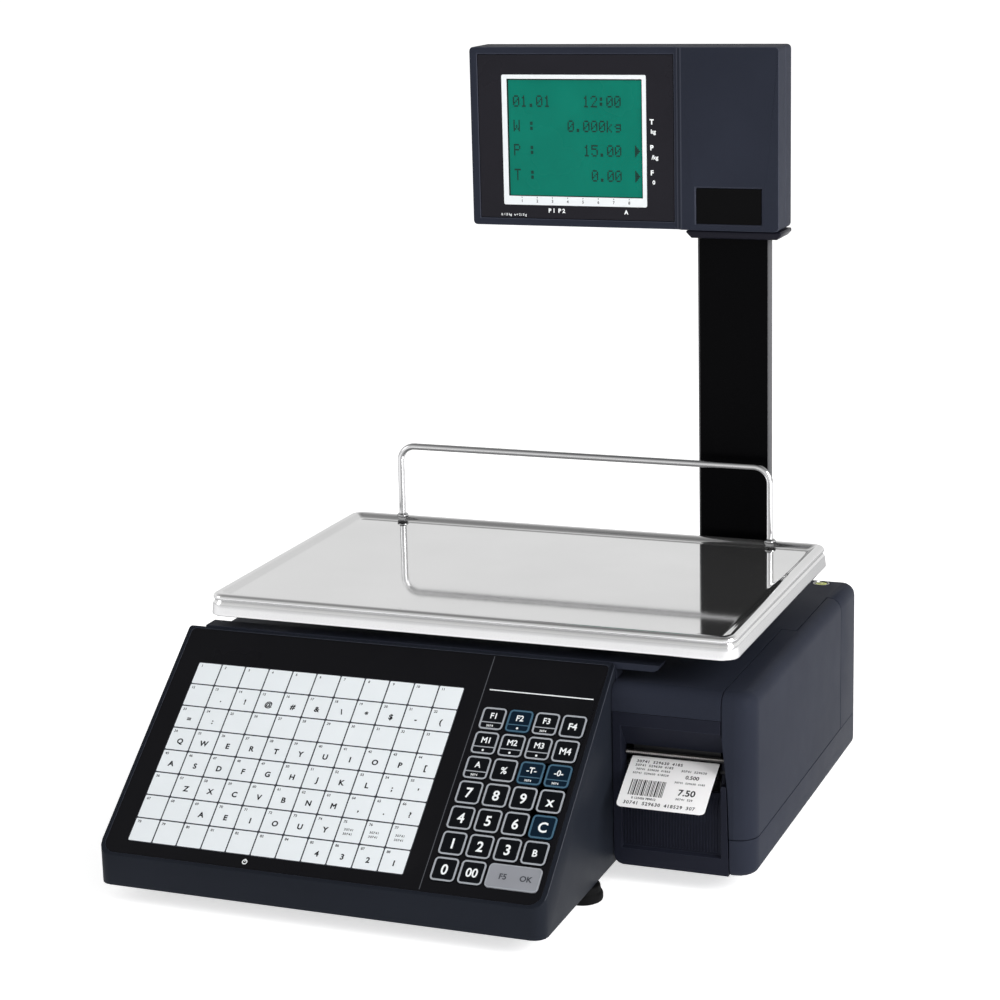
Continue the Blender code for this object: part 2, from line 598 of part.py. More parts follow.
def make_cartridge(dark, paper, rubber, steel, core):
    """Everything that comes out with the label cartridge."""
    make_cartridge_front(dark)
    make_cartridge_frame(dark)
    y, z, outer, hole = ROLL
    make_spool("label_roll", [(x, outer) for x in ROLL_SPAN], (y, z), hole, paper)
    y, z, flange, hub = REEL
    left, right = REEL_SPAN
    thick = REEL_FLANGE
    make_spool("takeup_reel", ((left, flange), (left + thick, flange), (left + thick, hub), (right - thick, hub),
                               (right - thick, flange), (right, flange)), (y, z), REEL_BORE, core)
    y, z, radius = PLATEN
    (left, right), (first, last), shaft = PLATEN_SPAN, PLATEN_RUBBER, PLATEN_SHAFT
    make_spool("platen_roller", ((left, shaft), (first, shaft), (first, radius), (last, radius), (last, shaft),
                                 (right, shaft)), (y, z), None, rubber, steps=24)
    first, last, low, high = TEAR_BAR
    near, far = PRINTER_FRONT + first, PRINTER_FRONT + last
    bar = [(near, low + 0.6), (far, low), (far, high), (near + 0.6, high), (near, high - 0.8)]
    prism("tear_bar", bar, "X", *TEAR_BAR_SPAN, steel)
    (y0, z0), (y1, z1) = LABEL_PATH
    slip = LABEL_THICK / math.hypot(y1 - y0, z1 - z0)
    down = ((z0 - z1) * slip, -(y0 - y1) * slip)
    sheet = [(y0, z0), (y1, z1), (y1 + down[0], z1 + down[1]), (y0 + down[0], z0 + down[1])]
    prism("printed_label", sheet, "X", *LABEL_WIDTH, paper)


def make_print_head(aluminium):
    """The thermal head over the roller, on an arm that swings about its pivot."""
    y, z = HEAD_PIVOT
    left, right = LABEL_WIDTH
    near, far, top = HEAD_BODY
    inset = 6
    body = block("print_head", left, right, near, far, PLATEN[1] + PLATEN[2] + 0.6, top, aluminium)
    arm = block("print_head_arm", left + inset, right - inset, far - 2, y, z - 3.5, z + 1.5)
    join(body, arm, rod("print_head_barrel", "X", y, z, HEAD_BARREL, left + inset, right - inset))
    cut(body, rod("print_head_bore", "X", y, z, HEAD_SHAFT + GAP, left - 5, right + 5))
    set_origin(body, (left + right) / 2, y, z)


def make_pole(black, steel):
    """The pole, the bracket that holds its foot and the collar under the head."""
    x0, x1, y0, y1 = POLE
    prism("pole", rounded(x0, x1, y0, y1, [1.5] * 4, 3), "Z", POLE_BOTTOM, POLE_TOP, black, smooth=35.0)
    bracket = block("pole_bracket", x0 - 8, x1 + 8, y0 - 5, CASE_BACK - WALL - GAP, 18.5, 66.0, steel)
    edge = GAP
    cut(bracket, block("bracket_hole", x0 - edge, x1 + edge, y0 - edge, y1 + edge, 10, 70))
    collar = prism("head_collar", [(x0 - 1, 395.6), (x1 + 9, 395.6), (x1 + 12, 398.6), (x1 + 12, 401.1),
                                   (x0 - 5, 401.1), (x0 - 5, 399.6)], "Y", HEAD_FRONT + 1.5, HEAD_BACK - 1.5, black)
    soften(collar, 1.0)
    cut(collar, block("collar_hole", x0 - edge, x1 + edge, y0 - edge, y1 + edge, 390, 410))


def make_head(shell, gloss, green):
    """The display head: two shells with a window and a display on the left, and a plain block on the right."""
    x0, x1, z0, z1 = HEAD
    step = (x0, BLOCK_LEFT, z0, z1)
    front = prism("head_front_shell", rounded(x0, x1, z0, z1, [3] * 4, 3), "Y", HEAD_FRONT, HEAD_SPLIT,
                  shell)
    face = HEAD_FRONT + PANEL_SETBACK
    slant = 3.0
    setback = [(step[0] - 5, HEAD_FRONT - 5), (step[1] + slant * 2, HEAD_FRONT - 5), (step[1] + slant, HEAD_FRONT),
               (step[1], face), (step[0] - 5, face)]
    a, b, c, d = WINDOW
    e, f, g, h = LCD
    cavity = rounded(x0 + WALL, x1 - WALL, z0 + WALL, z1 - WALL, [2] * 4, 2)
    cut(front,
        prism("panel_setback", setback, "Z", z0 - 5, z1 + 5),
        prism("head_cavity", cavity, "Y", face + 5.0, HEAD_BACK + 5),
        block("window_pocket", a - GAP, b + GAP, HEAD_FRONT - 5, face + 2.6, c - GAP, d + GAP),
        block("lcd_mouth", e - GAP, f + GAP, HEAD_FRONT - 5, HEAD_BACK, g - GAP, h + GAP),
        block("badge_recess", BADGE[0], BADGE[1], HEAD_FRONT - 5, HEAD_FRONT + 1.2, BADGE[2], BADGE[3]),
        block("head_pole_slot", POLE[0] - GAP, POLE[1] + GAP, POLE[2] - GAP, HEAD_BACK, z0 - 5, z0 + 10))
    window = block("display_window", a, b, face + 0.3, face + 2.2, c, d, gloss)
    cut(window, block("window_mouth", e - GAP, f + GAP, HEAD_FRONT - 5, HEAD_BACK, g - GAP, h + GAP))
    block("lcd_panel", e, f, face + 1.0, face + 7.0, g, h, green)
    rear = prism("head_rear_shell", rounded(x0, x1, z0, z1, [3] * 4, 3), "Y", HEAD_SPLIT + GAP, HEAD_BACK,
                 shell)
    cut(rear,
        prism("rear_cavity", cavity, "Y", HEAD_FRONT, HEAD_BACK - WALL - REAR_WINDOW_DEPTH),
        block("rear_window_pocket", a, b, HEAD_BACK - REAR_WINDOW_DEPTH, HEAD_BACK + 5, c, d),
        block("rear_pole_slot", POLE[0] - GAP, POLE[1] + GAP, HEAD_FRONT, POLE[3] + GAP, z0 - 5, z0 + 10))


def make_electrics(board, black):
    """The board, the mains inlet and the rocker switch."""
    block("main_board", *BOARD, board)
    a, b, c, d = INLET
    inlet = block("power_inlet", a - 3, b + 3, CASE_BACK + GAP, DEPTH, c - 3, d + 3, black)
    join(inlet, block("inlet_body", a + GAP, b - GAP, 404, CASE_BACK + 1, c + GAP, d - GAP))
    cut(inlet, block("inlet_socket", a + 2.5, b - 2.5, 409, DEPTH + 5, c + 3, d - 3))
    middle = (SWITCH[2] + SWITCH[3]) / 2
    outline = [(416.5, middle - 8.0), (423.9, middle - 8.8), (421.9, middle), (421.2, middle + 9.0),
               (416.5, middle + 8.0)]
    rocker = prism("power_switch", outline, "X", SWITCH[0] + 0.6, SWITCH[1] - 0.6, black)
    set_origin(rocker, (SWITCH[0] + SWITCH[1]) / 2, 417.5, middle)


def make_spirit_level(finish):
    """The round level let into the deck."""
    return rod("spirit_level", "Z", *LEVEL, LEVEL_RADIUS, LEVEL_BOTTOM, DECK_TOP + 0.3, finish)


def build():
    """Every piece of the scale."""
    clear_scene()
    case = material("case_plastic", (0.045, 0.048, 0.063), 0.5)
    dark = material("dark_plastic", (0.02, 0.02, 0.027), 0.45)
    black = material("black_plastic", (0.006, 0.006, 0.007), 0.3)
    gloss = material("gloss_film", (0.008, 0.008, 0.01), 0.25)
    white = material("white_sheet", (0.8, 0.85, 0.87), 0.4)
    blue = material("blue_key", (0.01, 0.03, 0.06), 0.35)
    grey = material("grey_key", (0.3, 0.3, 0.33), 0.4)
    steel = material("stainless", (0.7, 0.7, 0.7), 0.25, 1.0)
    aluminium = material("aluminium", (0.6, 0.6, 0.62), 0.4, 1.0)
    rubber = material("black_rubber", (0.01, 0.01, 0.011), 0.8)
    paper = material("label_paper", (0.85, 0.84, 0.84), 0.7)
    green = material("lcd_green", (0.0, 0.22, 0.15), 0.3)
    board = material("circuit_board", (0.02, 0.12, 0.05), 0.5)

    make_upper_case(case)
    make_lower_case(case)
    make_keyboard_housing(case)
    make_overlay(gloss)
    slope_plate("speed_key_sheet", rounded(*SHEET, (1, 1, 1, 1), 1), -SHEET_DEPTH + 0.25,
                -SHEET_DEPTH + 0.25 + SHEET_THICK, white)
    make_keys(gloss, blue, grey)
    make_feet(rubber)
    make_spirit_level(white)
    make_weighing(steel, aluminium, dark)
    make_printer_door(case)
    make_cartridge(dark, paper, rubber, steel, grey)
    make_print_head(aluminium)
    make_pole(black, steel)
    make_head(case, gloss, green)
    make_electrics(board, black)


build()
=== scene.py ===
"""Looks of a label printing scale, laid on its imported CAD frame.

The frame is in metres: X to the right, Y away from the keyboard, Z up from the counter. Lengths in
this file are in millimetres unless a name or a comment says otherwise. A Face turns them into places
on the model, measured from a CAD node, so every piece follows the CAD.
"""

import json
import math

import bmesh
import bpy
from mathutils import Matrix, Vector


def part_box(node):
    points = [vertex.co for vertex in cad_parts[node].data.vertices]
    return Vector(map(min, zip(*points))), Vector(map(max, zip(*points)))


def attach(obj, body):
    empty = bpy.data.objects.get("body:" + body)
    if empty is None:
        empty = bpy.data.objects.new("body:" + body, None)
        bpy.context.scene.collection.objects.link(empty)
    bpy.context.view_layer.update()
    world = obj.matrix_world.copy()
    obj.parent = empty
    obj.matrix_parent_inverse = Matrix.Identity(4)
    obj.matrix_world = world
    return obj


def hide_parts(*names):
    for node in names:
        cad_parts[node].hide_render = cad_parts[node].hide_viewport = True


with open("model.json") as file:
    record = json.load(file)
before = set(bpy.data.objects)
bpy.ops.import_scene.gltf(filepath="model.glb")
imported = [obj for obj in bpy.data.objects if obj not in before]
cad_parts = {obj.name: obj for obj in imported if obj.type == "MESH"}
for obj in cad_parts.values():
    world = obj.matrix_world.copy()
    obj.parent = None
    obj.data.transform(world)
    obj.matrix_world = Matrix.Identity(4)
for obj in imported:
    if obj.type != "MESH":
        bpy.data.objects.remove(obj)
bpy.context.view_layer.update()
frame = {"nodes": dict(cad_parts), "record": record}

MM = 0.001
X_AXIS = Vector((1, 0, 0))
Y_AXIS = Vector((0, 1, 0))
Z_AXIS = Vector((0, 0, 1))
BODY_OF = {node: body for body, nodes in frame["record"]["behaviour"]["bodies"].items() for node in nodes}
SLOT_OF = {part["node"]: part["material_slot"] for part in frame["record"]["subparts"]}
KEYS = sorted(name for name in frame["nodes"] if name.startswith("key_"))
BLUE_KEYS = ("key_lookup", "key_tare", "key_zero_set", "key_clear")

# Camera
CAMERA_PLACE = (0.61981, -1.56523, 0.65138)   # metres
CAMERA_YAW, CAMERA_PITCH, CAMERA_ROLL = 21.47, 13.84, -1.49   # degrees
CAMERA_LENS, CAMERA_SENSOR = 90.52, 36.0

# Studio: how bright the sky is low down, part of the way up and overhead, and the floor's own glow
SKY_LOW, SKY_MIDDLE, SKY_HIGH = 0.95, 0.85, 0.12
SKY_MIDDLE_AT = 0.42
FLOOR_GLOW = 0.62
FLOOR_HALF = 45.0   # metres
LIGHTS = (   # name, place, what it points at and size, all in metres, then power in watts
    ("key_light", (2.3, -0.3, 1.5), (0.1, 0.0, 0.2), (1.2, 1.2), 40.0),
    ("strip_light", (1.6, -0.75, 0.55), (0.2, -0.1, 0.2), (0.3, 1.1), 9.0),
    ("fill_light", (-2.4, -1.2, 1.3), (0.0, 0.0, 0.2), (1.2, 1.2), 8.0),
)

# How far the edges of moulded parts, and of small or metal ones, are rounded
SOFT_EDGE, FINE_EDGE = 0.6, 0.4

# Keypad overlay: places across and up from its lower left corner
DIVIDER = (227.1, 227.65)
DIVIDER_GAPS = (1.0, 0.8)   # below and above it
OVERLAY_BAR = (153.0, 153.8)
OVERLAY_BAR_GAPS = (4.2, 3.8)   # from the divider, and from the overlay's right side
POWER_SIGN = (103.5, 4.6)
POWER_RADII = (1.9, 1.2)
POWER_STROKE = (0.3, 2.2)   # half its width, and its length

# Speed-key sheet: places within a field are from its left and lower sides
SPEED_COLUMNS, SPEED_ROWS = 11, 8
SPEED_LINE = 1.0
FIELD_THICK = 0.09
NUMBER_ACROSS, NUMBER_DOWN, NUMBER_HEIGHT = 3.4, 2.8, 1.9
SIGN_ACROSS, SIGN_UP = 0.52, 0.42   # shares of the field's width and height
SIGN_HEIGHT = 4.0
WORDED_ROW, WORDED_COLUMNS = 6, (8, 9, 10)
FIELD_WORDS = ((4.0, 9.5), (4.0, 6.3))
SPEED_SIGNS = (
    "           ",
    " .!@#&\\*$-(",
    "=:         ",
    "QWERTYUIOP[",
    "ASDFGHJKL;'",
    " ZXCVBNM,.?",
    "  AEIOUY   ",
    "       4321",
)

# Function keys: the large sign, and whether there is a smaller field under it
KEY_SIGNS = {
    "shift": ("F1", True), "lookup": ("F2", True), "menu": ("F3", True), "feed": ("F4", False),
    "memo_1": ("M1", True), "memo_2": ("M2", True), "memo_3": ("M3", True), "memo_4": ("M4", False),
    "clerk": ("A", True), "percent": ("%", False), "tare": ("-T-", True), "zero_set": ("-0-", True),
    "multiply": ("x", False), "clear": ("C", False), "auto": ("B", False), "00": ("00", False),
}
DOTTED_KEYS = ("lookup", "memo_1", "memo_2", "memo_3")   # with a dot in the smaller field
LARGE_SIGN, DOUBLE_SIGN, PLAIN_SIGN, SMALL_SIGN = 7.4, 6.4, 5.0, 4.4
SIGN_RAISED = 2.3   # above a smaller field
KEY_FIELD_LINE = (5.4, 6.1)   # up from the key's lower side
KEY_FIELD_MIDDLE = 3.2
RIM_OUTER, RIM_INNER = 0.3, 1.5   # in from the key's edge
RIM_CORNERS = (2.9, 1.6)
PRINT_RIM_INNER = 0.9
PRINT_RIM_CORNERS = (2.8, 2.2)
PRINT_SIGNS = (("F5", -7.0), ("OK", 8.5))
PRINT_SIGN_HEIGHT = 4.0

# Spirit level and feet: profiles of (place along the axis, radius)
LEVEL_RING = (2.2, 1.95)
LEVEL_BUBBLE = (0.5, 0.3, 1.35)
FOOT_PROFILE = ((0.0, 12.3), (0.5, 13.2), (1.2, 13.5), (4.3, 13.5), (5.4, 13.1), (6.4, 12.2), (10.4, 11.6),
                (11.0, 10.8), (11.0, 4.0), (28.0, 4.0))
FOOT_STEM = (8, 9)   # the profile's stretch that is bare steel

# Platter: (in from its edge, up from its top), then the bend of its corners and of the rail
PAN_PROFILE = (
    (1.2, -15.3), (0.25, -15.1), (0.0, -14.6), (0.15, -13.2), (0.5, -10.0), (0.7, -8.0), (1.0, -6.9),
    (2.2, -5.3), (2.6, -4.5), (2.3, -3.9), (1.4, -3.5), (1.2, -2.9), (1.4, -2.0), (2.0, -1.1), (3.0, -0.4),
    (4.4, -0.05), (6.0, 0.0), (7.1, -0.2), (8.1, -0.6), (9.0, -1.1), (9.9, -1.7), (10.8, -2.3),
    (11.8, -2.8), (12.8, -3.05), (13.8, -3.1), (15.0, -3.1),
)
PAN_CORNER, PAN_CORNER_LEAST = 12.0, 3.0
PAN_STEPS = 14
SHEET_THICK = 0.9
SKIRT_DEPTH = 2.0   # steeper faces lower than this are the skirt
RAIL_BEND, RAIL_STEPS = 12.0, 14
RAIL_FOOT_PROFILE = ((-0.25, 4.4), (0.3, 4.3), (1.1, 3.4), (1.6, 2.6), (2.0, 2.5))

# Printer: the ribs' path is (back from the front, up from the counter, how proud of the front)
RIB_PATH = ((0.0, 27.2, 0.15), (0.0, 28.2, 0.75), (0.0, 50.0, 0.75), (2.2, 60.0, 0.75), (4.6, 64.9, 0.15))
RIB_FRONT = 3.0   # behind the front of cartridge_front
RIB_PITCH, RIB_HALF, RIB_ROOT = 2.1, 0.5, 0.3
RIB_MARGINS = (7.2, 7.6)
TOOTH_WIDTH, TOOTH_DEPTH, TOOTH_THICK = 1.5, 0.9, 1.2
SUPPORT_DEPTH = 2.6

# Printed label: places across from its left side and up from its free end, or down from its
# other end where the place is negative
LABEL_SAG = 0.7
LABEL_SHORT = 0.4   # how much shorter the sheet is than its CAD node
LABEL_CORNER, LABEL_THICK = 3.0, 0.18
LABEL_ROWS, LABEL_COLUMNS = 20, 6
LABEL_FIGURES = (   # across, up, length, height
    (4.0, -4.5, 33.0, 2.3), (4.0, -7.9, 27.0, 1.9), (5.5, -11.3, 24.0, 1.6), (4.0, -14.7, 26.0, 1.6),
    (36.0, -9.5, 18.0, 1.8), (34.0, -19.5, 21.0, 1.5), (38.0, 10.3, 13.0, 1.6), (4.0, 4.0, 50.0, 2.6),
)
LABEL_WORDS = (("0 123456 789012", 17.0, 7.9, 1.7), ("0.500", 45.0, -14.5, 3.0), ("7.50", 44.5, 15.8, 5.0))
BARCODE_LEFT = 5.5
BARCODE_ROWS = ((10.0, 17.2), (17.1, 23.0))
BARCODE_GAPS = (0.75, 0.45, 0.45)
BARCODE_WIDTHS = (0.7, 0.35, 0.35, 0.9, 0.5, 0.35, 0.7, 0.35, 1.0, 0.5, 0.35, 0.35, 0.8, 0.35, 0.6, 0.35,
                  1.0, 0.4, 0.35, 0.7, 0.5, 0.35)

# Rolls
CORE_BORE, CORE_RADIUS, CORE_PROUD = 12.5, 13.9, 0.6
WINDING_BORE, WINDING_PITCH = 14.0, 0.5
REEL_BORE, REEL_HUB = 6.2, 10.0

# Display: places across and up from the display window's lower left corner
LCD_RING = (18.5, 130.1, 9.7, 105.3)
LCD_GLASS = (22.5, 127.0, 16.2, 102.3)
# LCD_FIELD is the inner edge of the painted shadow band round the glass
LCD_FIELD = (23.5, 126.4, 16.8, 101.3)
RING_THICK = 0.14
TICK_FIRST, TICK_PITCH, TICK_COUNT = 32.8, 11.95, 8
TICK_NUMBER = (12.7, 2.1)   # up, height
TICK_LINE = (14.7, 15.7)
DOT_PITCH = (1.0, 1.22)
DOT_SHARE = 0.93   # of the pitch, the rest being gap
DOT_COLUMN = 6.05
DISPLAY_LINES = (
    ("01.01    12:00", 27.0, 86.0), ("W :    0.000kg", 27.0, 68.0), ("P :      15.00", 27.0, 50.3),
    ("T :       0.00", 27.0, 32.0), (">", 120.0, 50.3), (">", 120.0, 32.0),
)
DISPLAY_WORDS = (   # words, across, up, height, how much bolder
    ("T", 134.2, 71.9, 3.6, 0.04), ("kg", 135.4, 64.9, 3.0, 0.03),
    ("P", 134.2, 53.3, 3.6, 0.04), ("/kg", 136.4, 46.3, 3.0, 0.03),
    ("F", 134.2, 35.1, 3.6, 0.04), ("0", 135.4, 28.1, 3.0, 0.03),
    ("P 1  P 2", 60.0, 5.9, 3.0, 0.04), ("A", 114.0, 5.9, 3.0, 0.04),
    ("6 / 15 kg   e = 2 / 5 g", 26.0, 2.4, 1.7, 0.02),
)
BADGE = (168.0, 216.5, -1.0, 24.8)
BADGE_RECESS, BADGE_THICK = 1.2, 0.7
REAR_POCKET, REAR_PLATE = 1.6, 1.1
POLE_COVER_SIDES = (1.6, 1.0)   # left and right of the black cover, in from the pole's sides
POLE_COVER_END = 1.0

# Electrics: the chips' lower left corners and sizes, and the pins' places from the inlet's middle
BOARD_CHIPS = ((20, 30, 28, 28), (62, 24, 18, 12), (62, 48, 18, 12), (24, 80, 34, 14), (70, 84, 12, 30))
CHIP_THICK = 1.4
INLET_PINS = ((0.0, 17.0), (-6.0, 11.0), (6.0, 11.0))
PIN_HALF = (1.0, 2.2)
PIN_ROOT, PIN_LENGTH = -14.5, 10.0

# Display signs, as seven rows of five dots
DOT_SIGNS = {
    "0": "01110 10001 10011 10101 11001 10001 01110",
    "1": "00100 01100 00100 00100 00100 00100 01110",
    "2": "01110 10001 00001 00010 00100 01000 11111",
    "5": "11111 10000 11110 00001 00001 10001 01110",
    "k": "10000 10000 10010 10100 11000 10100 10010",
    "g": "00000 00000 01111 10001 01111 00001 01110",
    "W": "10001 10001 10001 10101 10101 11011 10001",
    "P": "11110 10001 10001 11110 10000 10000 10000",
    "T": "11111 00100 00100 00100 00100 00100 00100",
    ".": "00000 00000 00000 00000 00000 01100 01100",
    ":": "00000 01100 01100 00000 01100 01100 00000",
    ">": "01000 01100 01110 01111 01110 01100 01000",
}


# ---------------------------------------------------------------- materials

def srgb(red, green, blue):
    """A screen colour from 0 to 255, as the linear colour that shaders take."""
    def linear(value):
        """The usual curve from a screen's values to linear light."""
        value /= 255.0
        return value / 12.92 if value <= 0.04045 else ((value + 0.055) / 1.055) ** 2.4
    return (linear(red), linear(green), linear(blue))


def start_material(name, roughness, metallic=0.0, gloss=0.5, edge_tint=1.0):
    """gloss is the specular level; edge_tint darkens what a metal reflects at a grazing angle."""
    made = bpy.data.materials.new(name)
    made.use_nodes = True
    shader = made.node_tree.nodes["Principled BSDF"]
    shader.inputs["Roughness"].default_value = roughness
    shader.inputs["Metallic"].default_value = metallic
    shader.inputs["Specular IOR Level"].default_value = gloss
    shader.inputs["Specular Tint"].default_value = (edge_tint, edge_tint, edge_tint, 1.0)
    return made, made.node_tree, shader


def mapped(tree, socket, value):
    """The model's own coordinates, through a mapping with one socket set."""
    place = tree.nodes.new("ShaderNodeTexCoord")
    mapping = tree.nodes.new("ShaderNodeMapping")
    mapping.inputs[socket].default_value = value
    tree.links.new(place.outputs["Object"], mapping.inputs["Vector"])
    return mapping.outputs["Vector"]


def noise(tree, scale, detail=2.0, stretch=(1.0, 1.0, 1.0)):
    """Noise laid in the model's own metres."""
    texture = tree.nodes.new("ShaderNodeTexNoise")
    texture.inputs["Scale"].default_value = scale
    texture.inputs["Detail"].default_value = detail
    tree.links.new(mapped(tree, "Scale", stretch), texture.inputs["Vector"])
    return texture.outputs["Fac"]


def colour_between(tree, shader, source, low, high):
    """Let the base colour run from low to high as a noise or wave does."""
    ramp = tree.nodes.new("ShaderNodeValToRGB")
    ramp.color_ramp.elements[0].position = 0.3
    ramp.color_ramp.elements[1].position = 0.7
    ramp.color_ramp.elements[0].color = (*low, 1.0)
    ramp.color_ramp.elements[1].color = (*high, 1.0)
    tree.links.new(source, ramp.inputs["Fac"])
    tree.links.new(ramp.outputs["Color"], shader.inputs["Base Color"])


def uneven(tree, shader, source, low, high):
    """Let the roughness run from low to high as a noise does."""
    spread = tree.nodes.new("ShaderNodeMapRange")
    spread.inputs["From Min"].default_value = 0.3
    spread.inputs["From Max"].default_value = 0.7
    spread.inputs["To Min"].default_value = low
    spread.inputs["To Max"].default_value = high
    tree.links.new(source, spread.inputs["Value"])
    tree.links.new(spread.outputs["Result"], shader.inputs["Roughness"])


def bump(tree, shader, source, depth, strength):
    """Relief of the given depth in millimetres."""
    relief = tree.nodes.new("ShaderNodeBump")
    relief.inputs["Strength"].default_value = strength
    relief.inputs["Distance"].default_value = depth * MM
    tree.links.new(source, relief.inputs["Height"])
    tree.links.new(relief.outputs["Normal"], shader.inputs["Normal"])


def shade(colour, amount):
    """The colour made lighter or darker."""
    return tuple(min(channel * amount, 1.0) for channel in colour)


def moulded(name, colour, roughness=0.45, grain=0.05, gloss=0.25):
    """Moulded plastic: a fine spark-eroded grain and a faint unevenness of colour and gloss."""
    made, tree, shader = start_material(name, roughness, gloss=gloss)
    colour_between(tree, shader, noise(tree, 14.0, 3.0), shade(colour, 0.93), shade(colour, 1.07))
    uneven(tree, shader, noise(tree, 60.0, 3.0), roughness - 0.015, roughness + 0.02)
    bump(tree, shader, noise(tree, 1900.0, 2.0), grain, 0.6)
    return made


def printed(name, colour, roughness=0.35, spread=0.03):
    """Ink or printed film, with a barely uneven coverage."""
    made, tree, shader = start_material(name, roughness, gloss=0.2)
    cover = noise(tree, 40.0, 3.0)
    colour_between(tree, shader, cover, shade(colour, 1 - spread), shade(colour, 1 + spread))
    uneven(tree, shader, noise(tree, 25.0, 2.0), roughness - 0.03, roughness + 0.03)
    return made


def film(name, colour, roughness=0.3, gloss=0.15):
    """Semi-gloss plastic film with a slight orange peel."""
    made, tree, shader = start_material(name, roughness, gloss=gloss)
    colour_between(tree, shader, noise(tree, 30.0, 2.0), shade(colour, 0.94), shade(colour, 1.06))
    uneven(tree, shader, noise(tree, 18.0, 3.0), roughness - 0.04, roughness + 0.05)
    bump(tree, shader, noise(tree, 900.0, 1.0), 0.01, 0.5)
    return made


def brushed(name, colour, roughness, stretch, depth=0.004, scale=1600.0, edge_tint=1.0, metallic=1.0):
    """Brushed metal: the grain runs along the axis with the small stretch."""
    made, tree, shader = start_material(name, roughness, metallic=metallic, edge_tint=edge_tint)
    grain = noise(tree, scale, 3.0, stretch)
    colour_between(tree, shader, noise(tree, 10.0, 3.0), shade(colour, 0.96), shade(colour, 1.03))
    uneven(tree, shader, grain, roughness * 0.8, roughness * 1.25)
    bump(tree, shader, grain, depth, 0.7)
    return made


def ringed(name, colour, centre, pitch, roughness=0.7):
    """Wound paper: thin rings about an axis along X through the centre, given in metres."""
    made, tree, shader = start_material(name, roughness)
    wave = tree.nodes.new("ShaderNodeTexWave")
    wave.wave_type = "RINGS"
    wave.rings_direction = "X"
    wave.inputs["Scale"].default_value = 1.0 / (pitch * MM * 3.2)
    wave.inputs["Distortion"].default_value = 0.4
    from_axis = mapped(tree, "Location", (0.0, -centre[1], -centre[2]))
    tree.links.new(from_axis, wave.inputs["Vector"])
    colour_between(tree, shader, wave.outputs["Fac"], shade(colour, 0.78), colour)
    return made


case_look = moulded("case_plastic", srgb(38, 41, 51), 0.5, gloss=0.03)
# housing plastic darker than the case: partly its own tone, partly painted shade standing in for the shade
# on its low faces near the floor
housing_look = moulded("housing_plastic", srgb(28, 31, 38), 0.45, gloss=0.04)
# lighter finish for the keyboard housing's bevelled edges: a painted highlight along them
housing_edge_highlight = moulded("case_edge_painted_highlight", srgb(62, 65, 75), 0.32, 0.02, gloss=0.2)
dark_look = moulded("dark_plastic", srgb(26, 28, 38), 0.45, gloss=0.06)
# lighter finish for the bevelled edges of the head shells and the cartridge front: a painted highlight
# along them
dark_edge_highlight = moulded("dark_edge_painted_highlight", srgb(52, 55, 66), 0.35, 0.02, gloss=0.1)
collar_look = moulded("collar_plastic", srgb(16, 16, 26), 0.4, gloss=0.12)
pole_look = moulded("pole_paint", srgb(82, 82, 84), 0.5, 0.02, gloss=0.04)
pole_black = film("pole_black", srgb(3, 3, 4), 0.3, 0.03)
bracket_look = brushed("bracket_steel", srgb(150, 152, 155), 0.4, (0.03, 1.0, 1.0))
film_look = film("overlay_film", srgb(17, 17, 20), 0.3, 0.1)
window_look = film("window_film", srgb(26, 25, 31), 0.3, 0.1)
key_look = film("key_film", srgb(12, 14, 18), 0.34, 0.1)
blue_look = film("blue_key_film", srgb(10, 28, 43), 0.34, 0.1)
grey_look = film("grey_key_film", srgb(142, 144, 150), 0.4)
rim_ink = printed("rim_ink", srgb(158, 162, 168))
blue_rim_ink = printed("blue_rim_ink", srgb(66, 98, 118))
white_ink = printed("white_ink", srgb(236, 239, 240))
dim_ink = printed("dim_ink", srgb(78, 80, 85))
black_ink = printed("black_ink", srgb(30, 30, 34), 0.5)
grey_ink = printed("grey_ink", srgb(66, 68, 74), 0.5)
field_look = printed("speed_key_field", srgb(230, 235, 238), 0.4, 0.015)
line_look = printed("speed_key_lines", srgb(58, 60, 66), 0.4)
ring_look = printed("display_ring", srgb(222, 226, 228), 0.4, 0.01)
lcd_look = film("display_green", srgb(3, 108, 91), 0.25, 0.08)
lcd_ink = printed("display_dots", srgb(3, 42, 36), 0.4)
# dark band inside the display ring: painted shadow of the ring's depth
lcd_ring_shadow_ink = printed("display_ring_shadow", srgb(5, 30, 27), 0.4)
badge_look = film("badge_insert", srgb(7, 7, 8), 0.3, 0.04)
platter_look = brushed("platter_steel", srgb(236, 236, 236), 0.055, (1.0, 0.02, 1.0), 0.00025,
                       edge_tint=0.85, metallic=0.96)
skirt_look = brushed("skirt_steel", srgb(212, 212, 213), 0.14, (1.0, 1.0, 0.03), 0.003, edge_tint=0.5)
rail_look = brushed("rail_steel", srgb(206, 206, 207), 0.12, (0.05, 1.0, 1.0), 0.0005, edge_tint=0.05)
bar_look = brushed("tear_bar_steel", srgb(170, 168, 166), 0.3, (0.05, 1.0, 1.0))
cell_look = brushed("machined_aluminium", srgb(196, 198, 202), 0.35, (0.03, 1.0, 1.0))
rubber_look = moulded("black_rubber", srgb(11, 11, 12), 0.7, 0.12, gloss=0.08)
paper_look = moulded("label_paper", srgb(250, 248, 249), 0.6, 0.03)
card_look = moulded("cardboard_core", srgb(150, 120, 88), 0.8, 0.08)
reel_look = moulded("reel_plastic", srgb(140, 142, 150), 0.45)
socket_look = moulded("socket_plastic", srgb(14, 14, 17), 0.4)
board_look = moulded("circuit_board", srgb(20, 84, 48), 0.4, 0.08)
chip_look = moulded("chip_plastic", srgb(24, 24, 26), 0.5, 0.03)
brass_look = brushed("brass_pins", srgb(214, 184, 110), 0.3, (1.0, 0.05, 1.0))
vial_look = film("vial_fluid", srgb(186, 196, 70), 0.12, 0.5)
bubble_look = film("vial_bubble", srgb(226, 230, 150), 0.08, 0.5)
chrome_look = brushed("chrome_rim", srgb(150, 150, 146), 0.25, (1.0, 1.0, 0.1), 0.001)


# ---------------------------------------------------------------- shapes

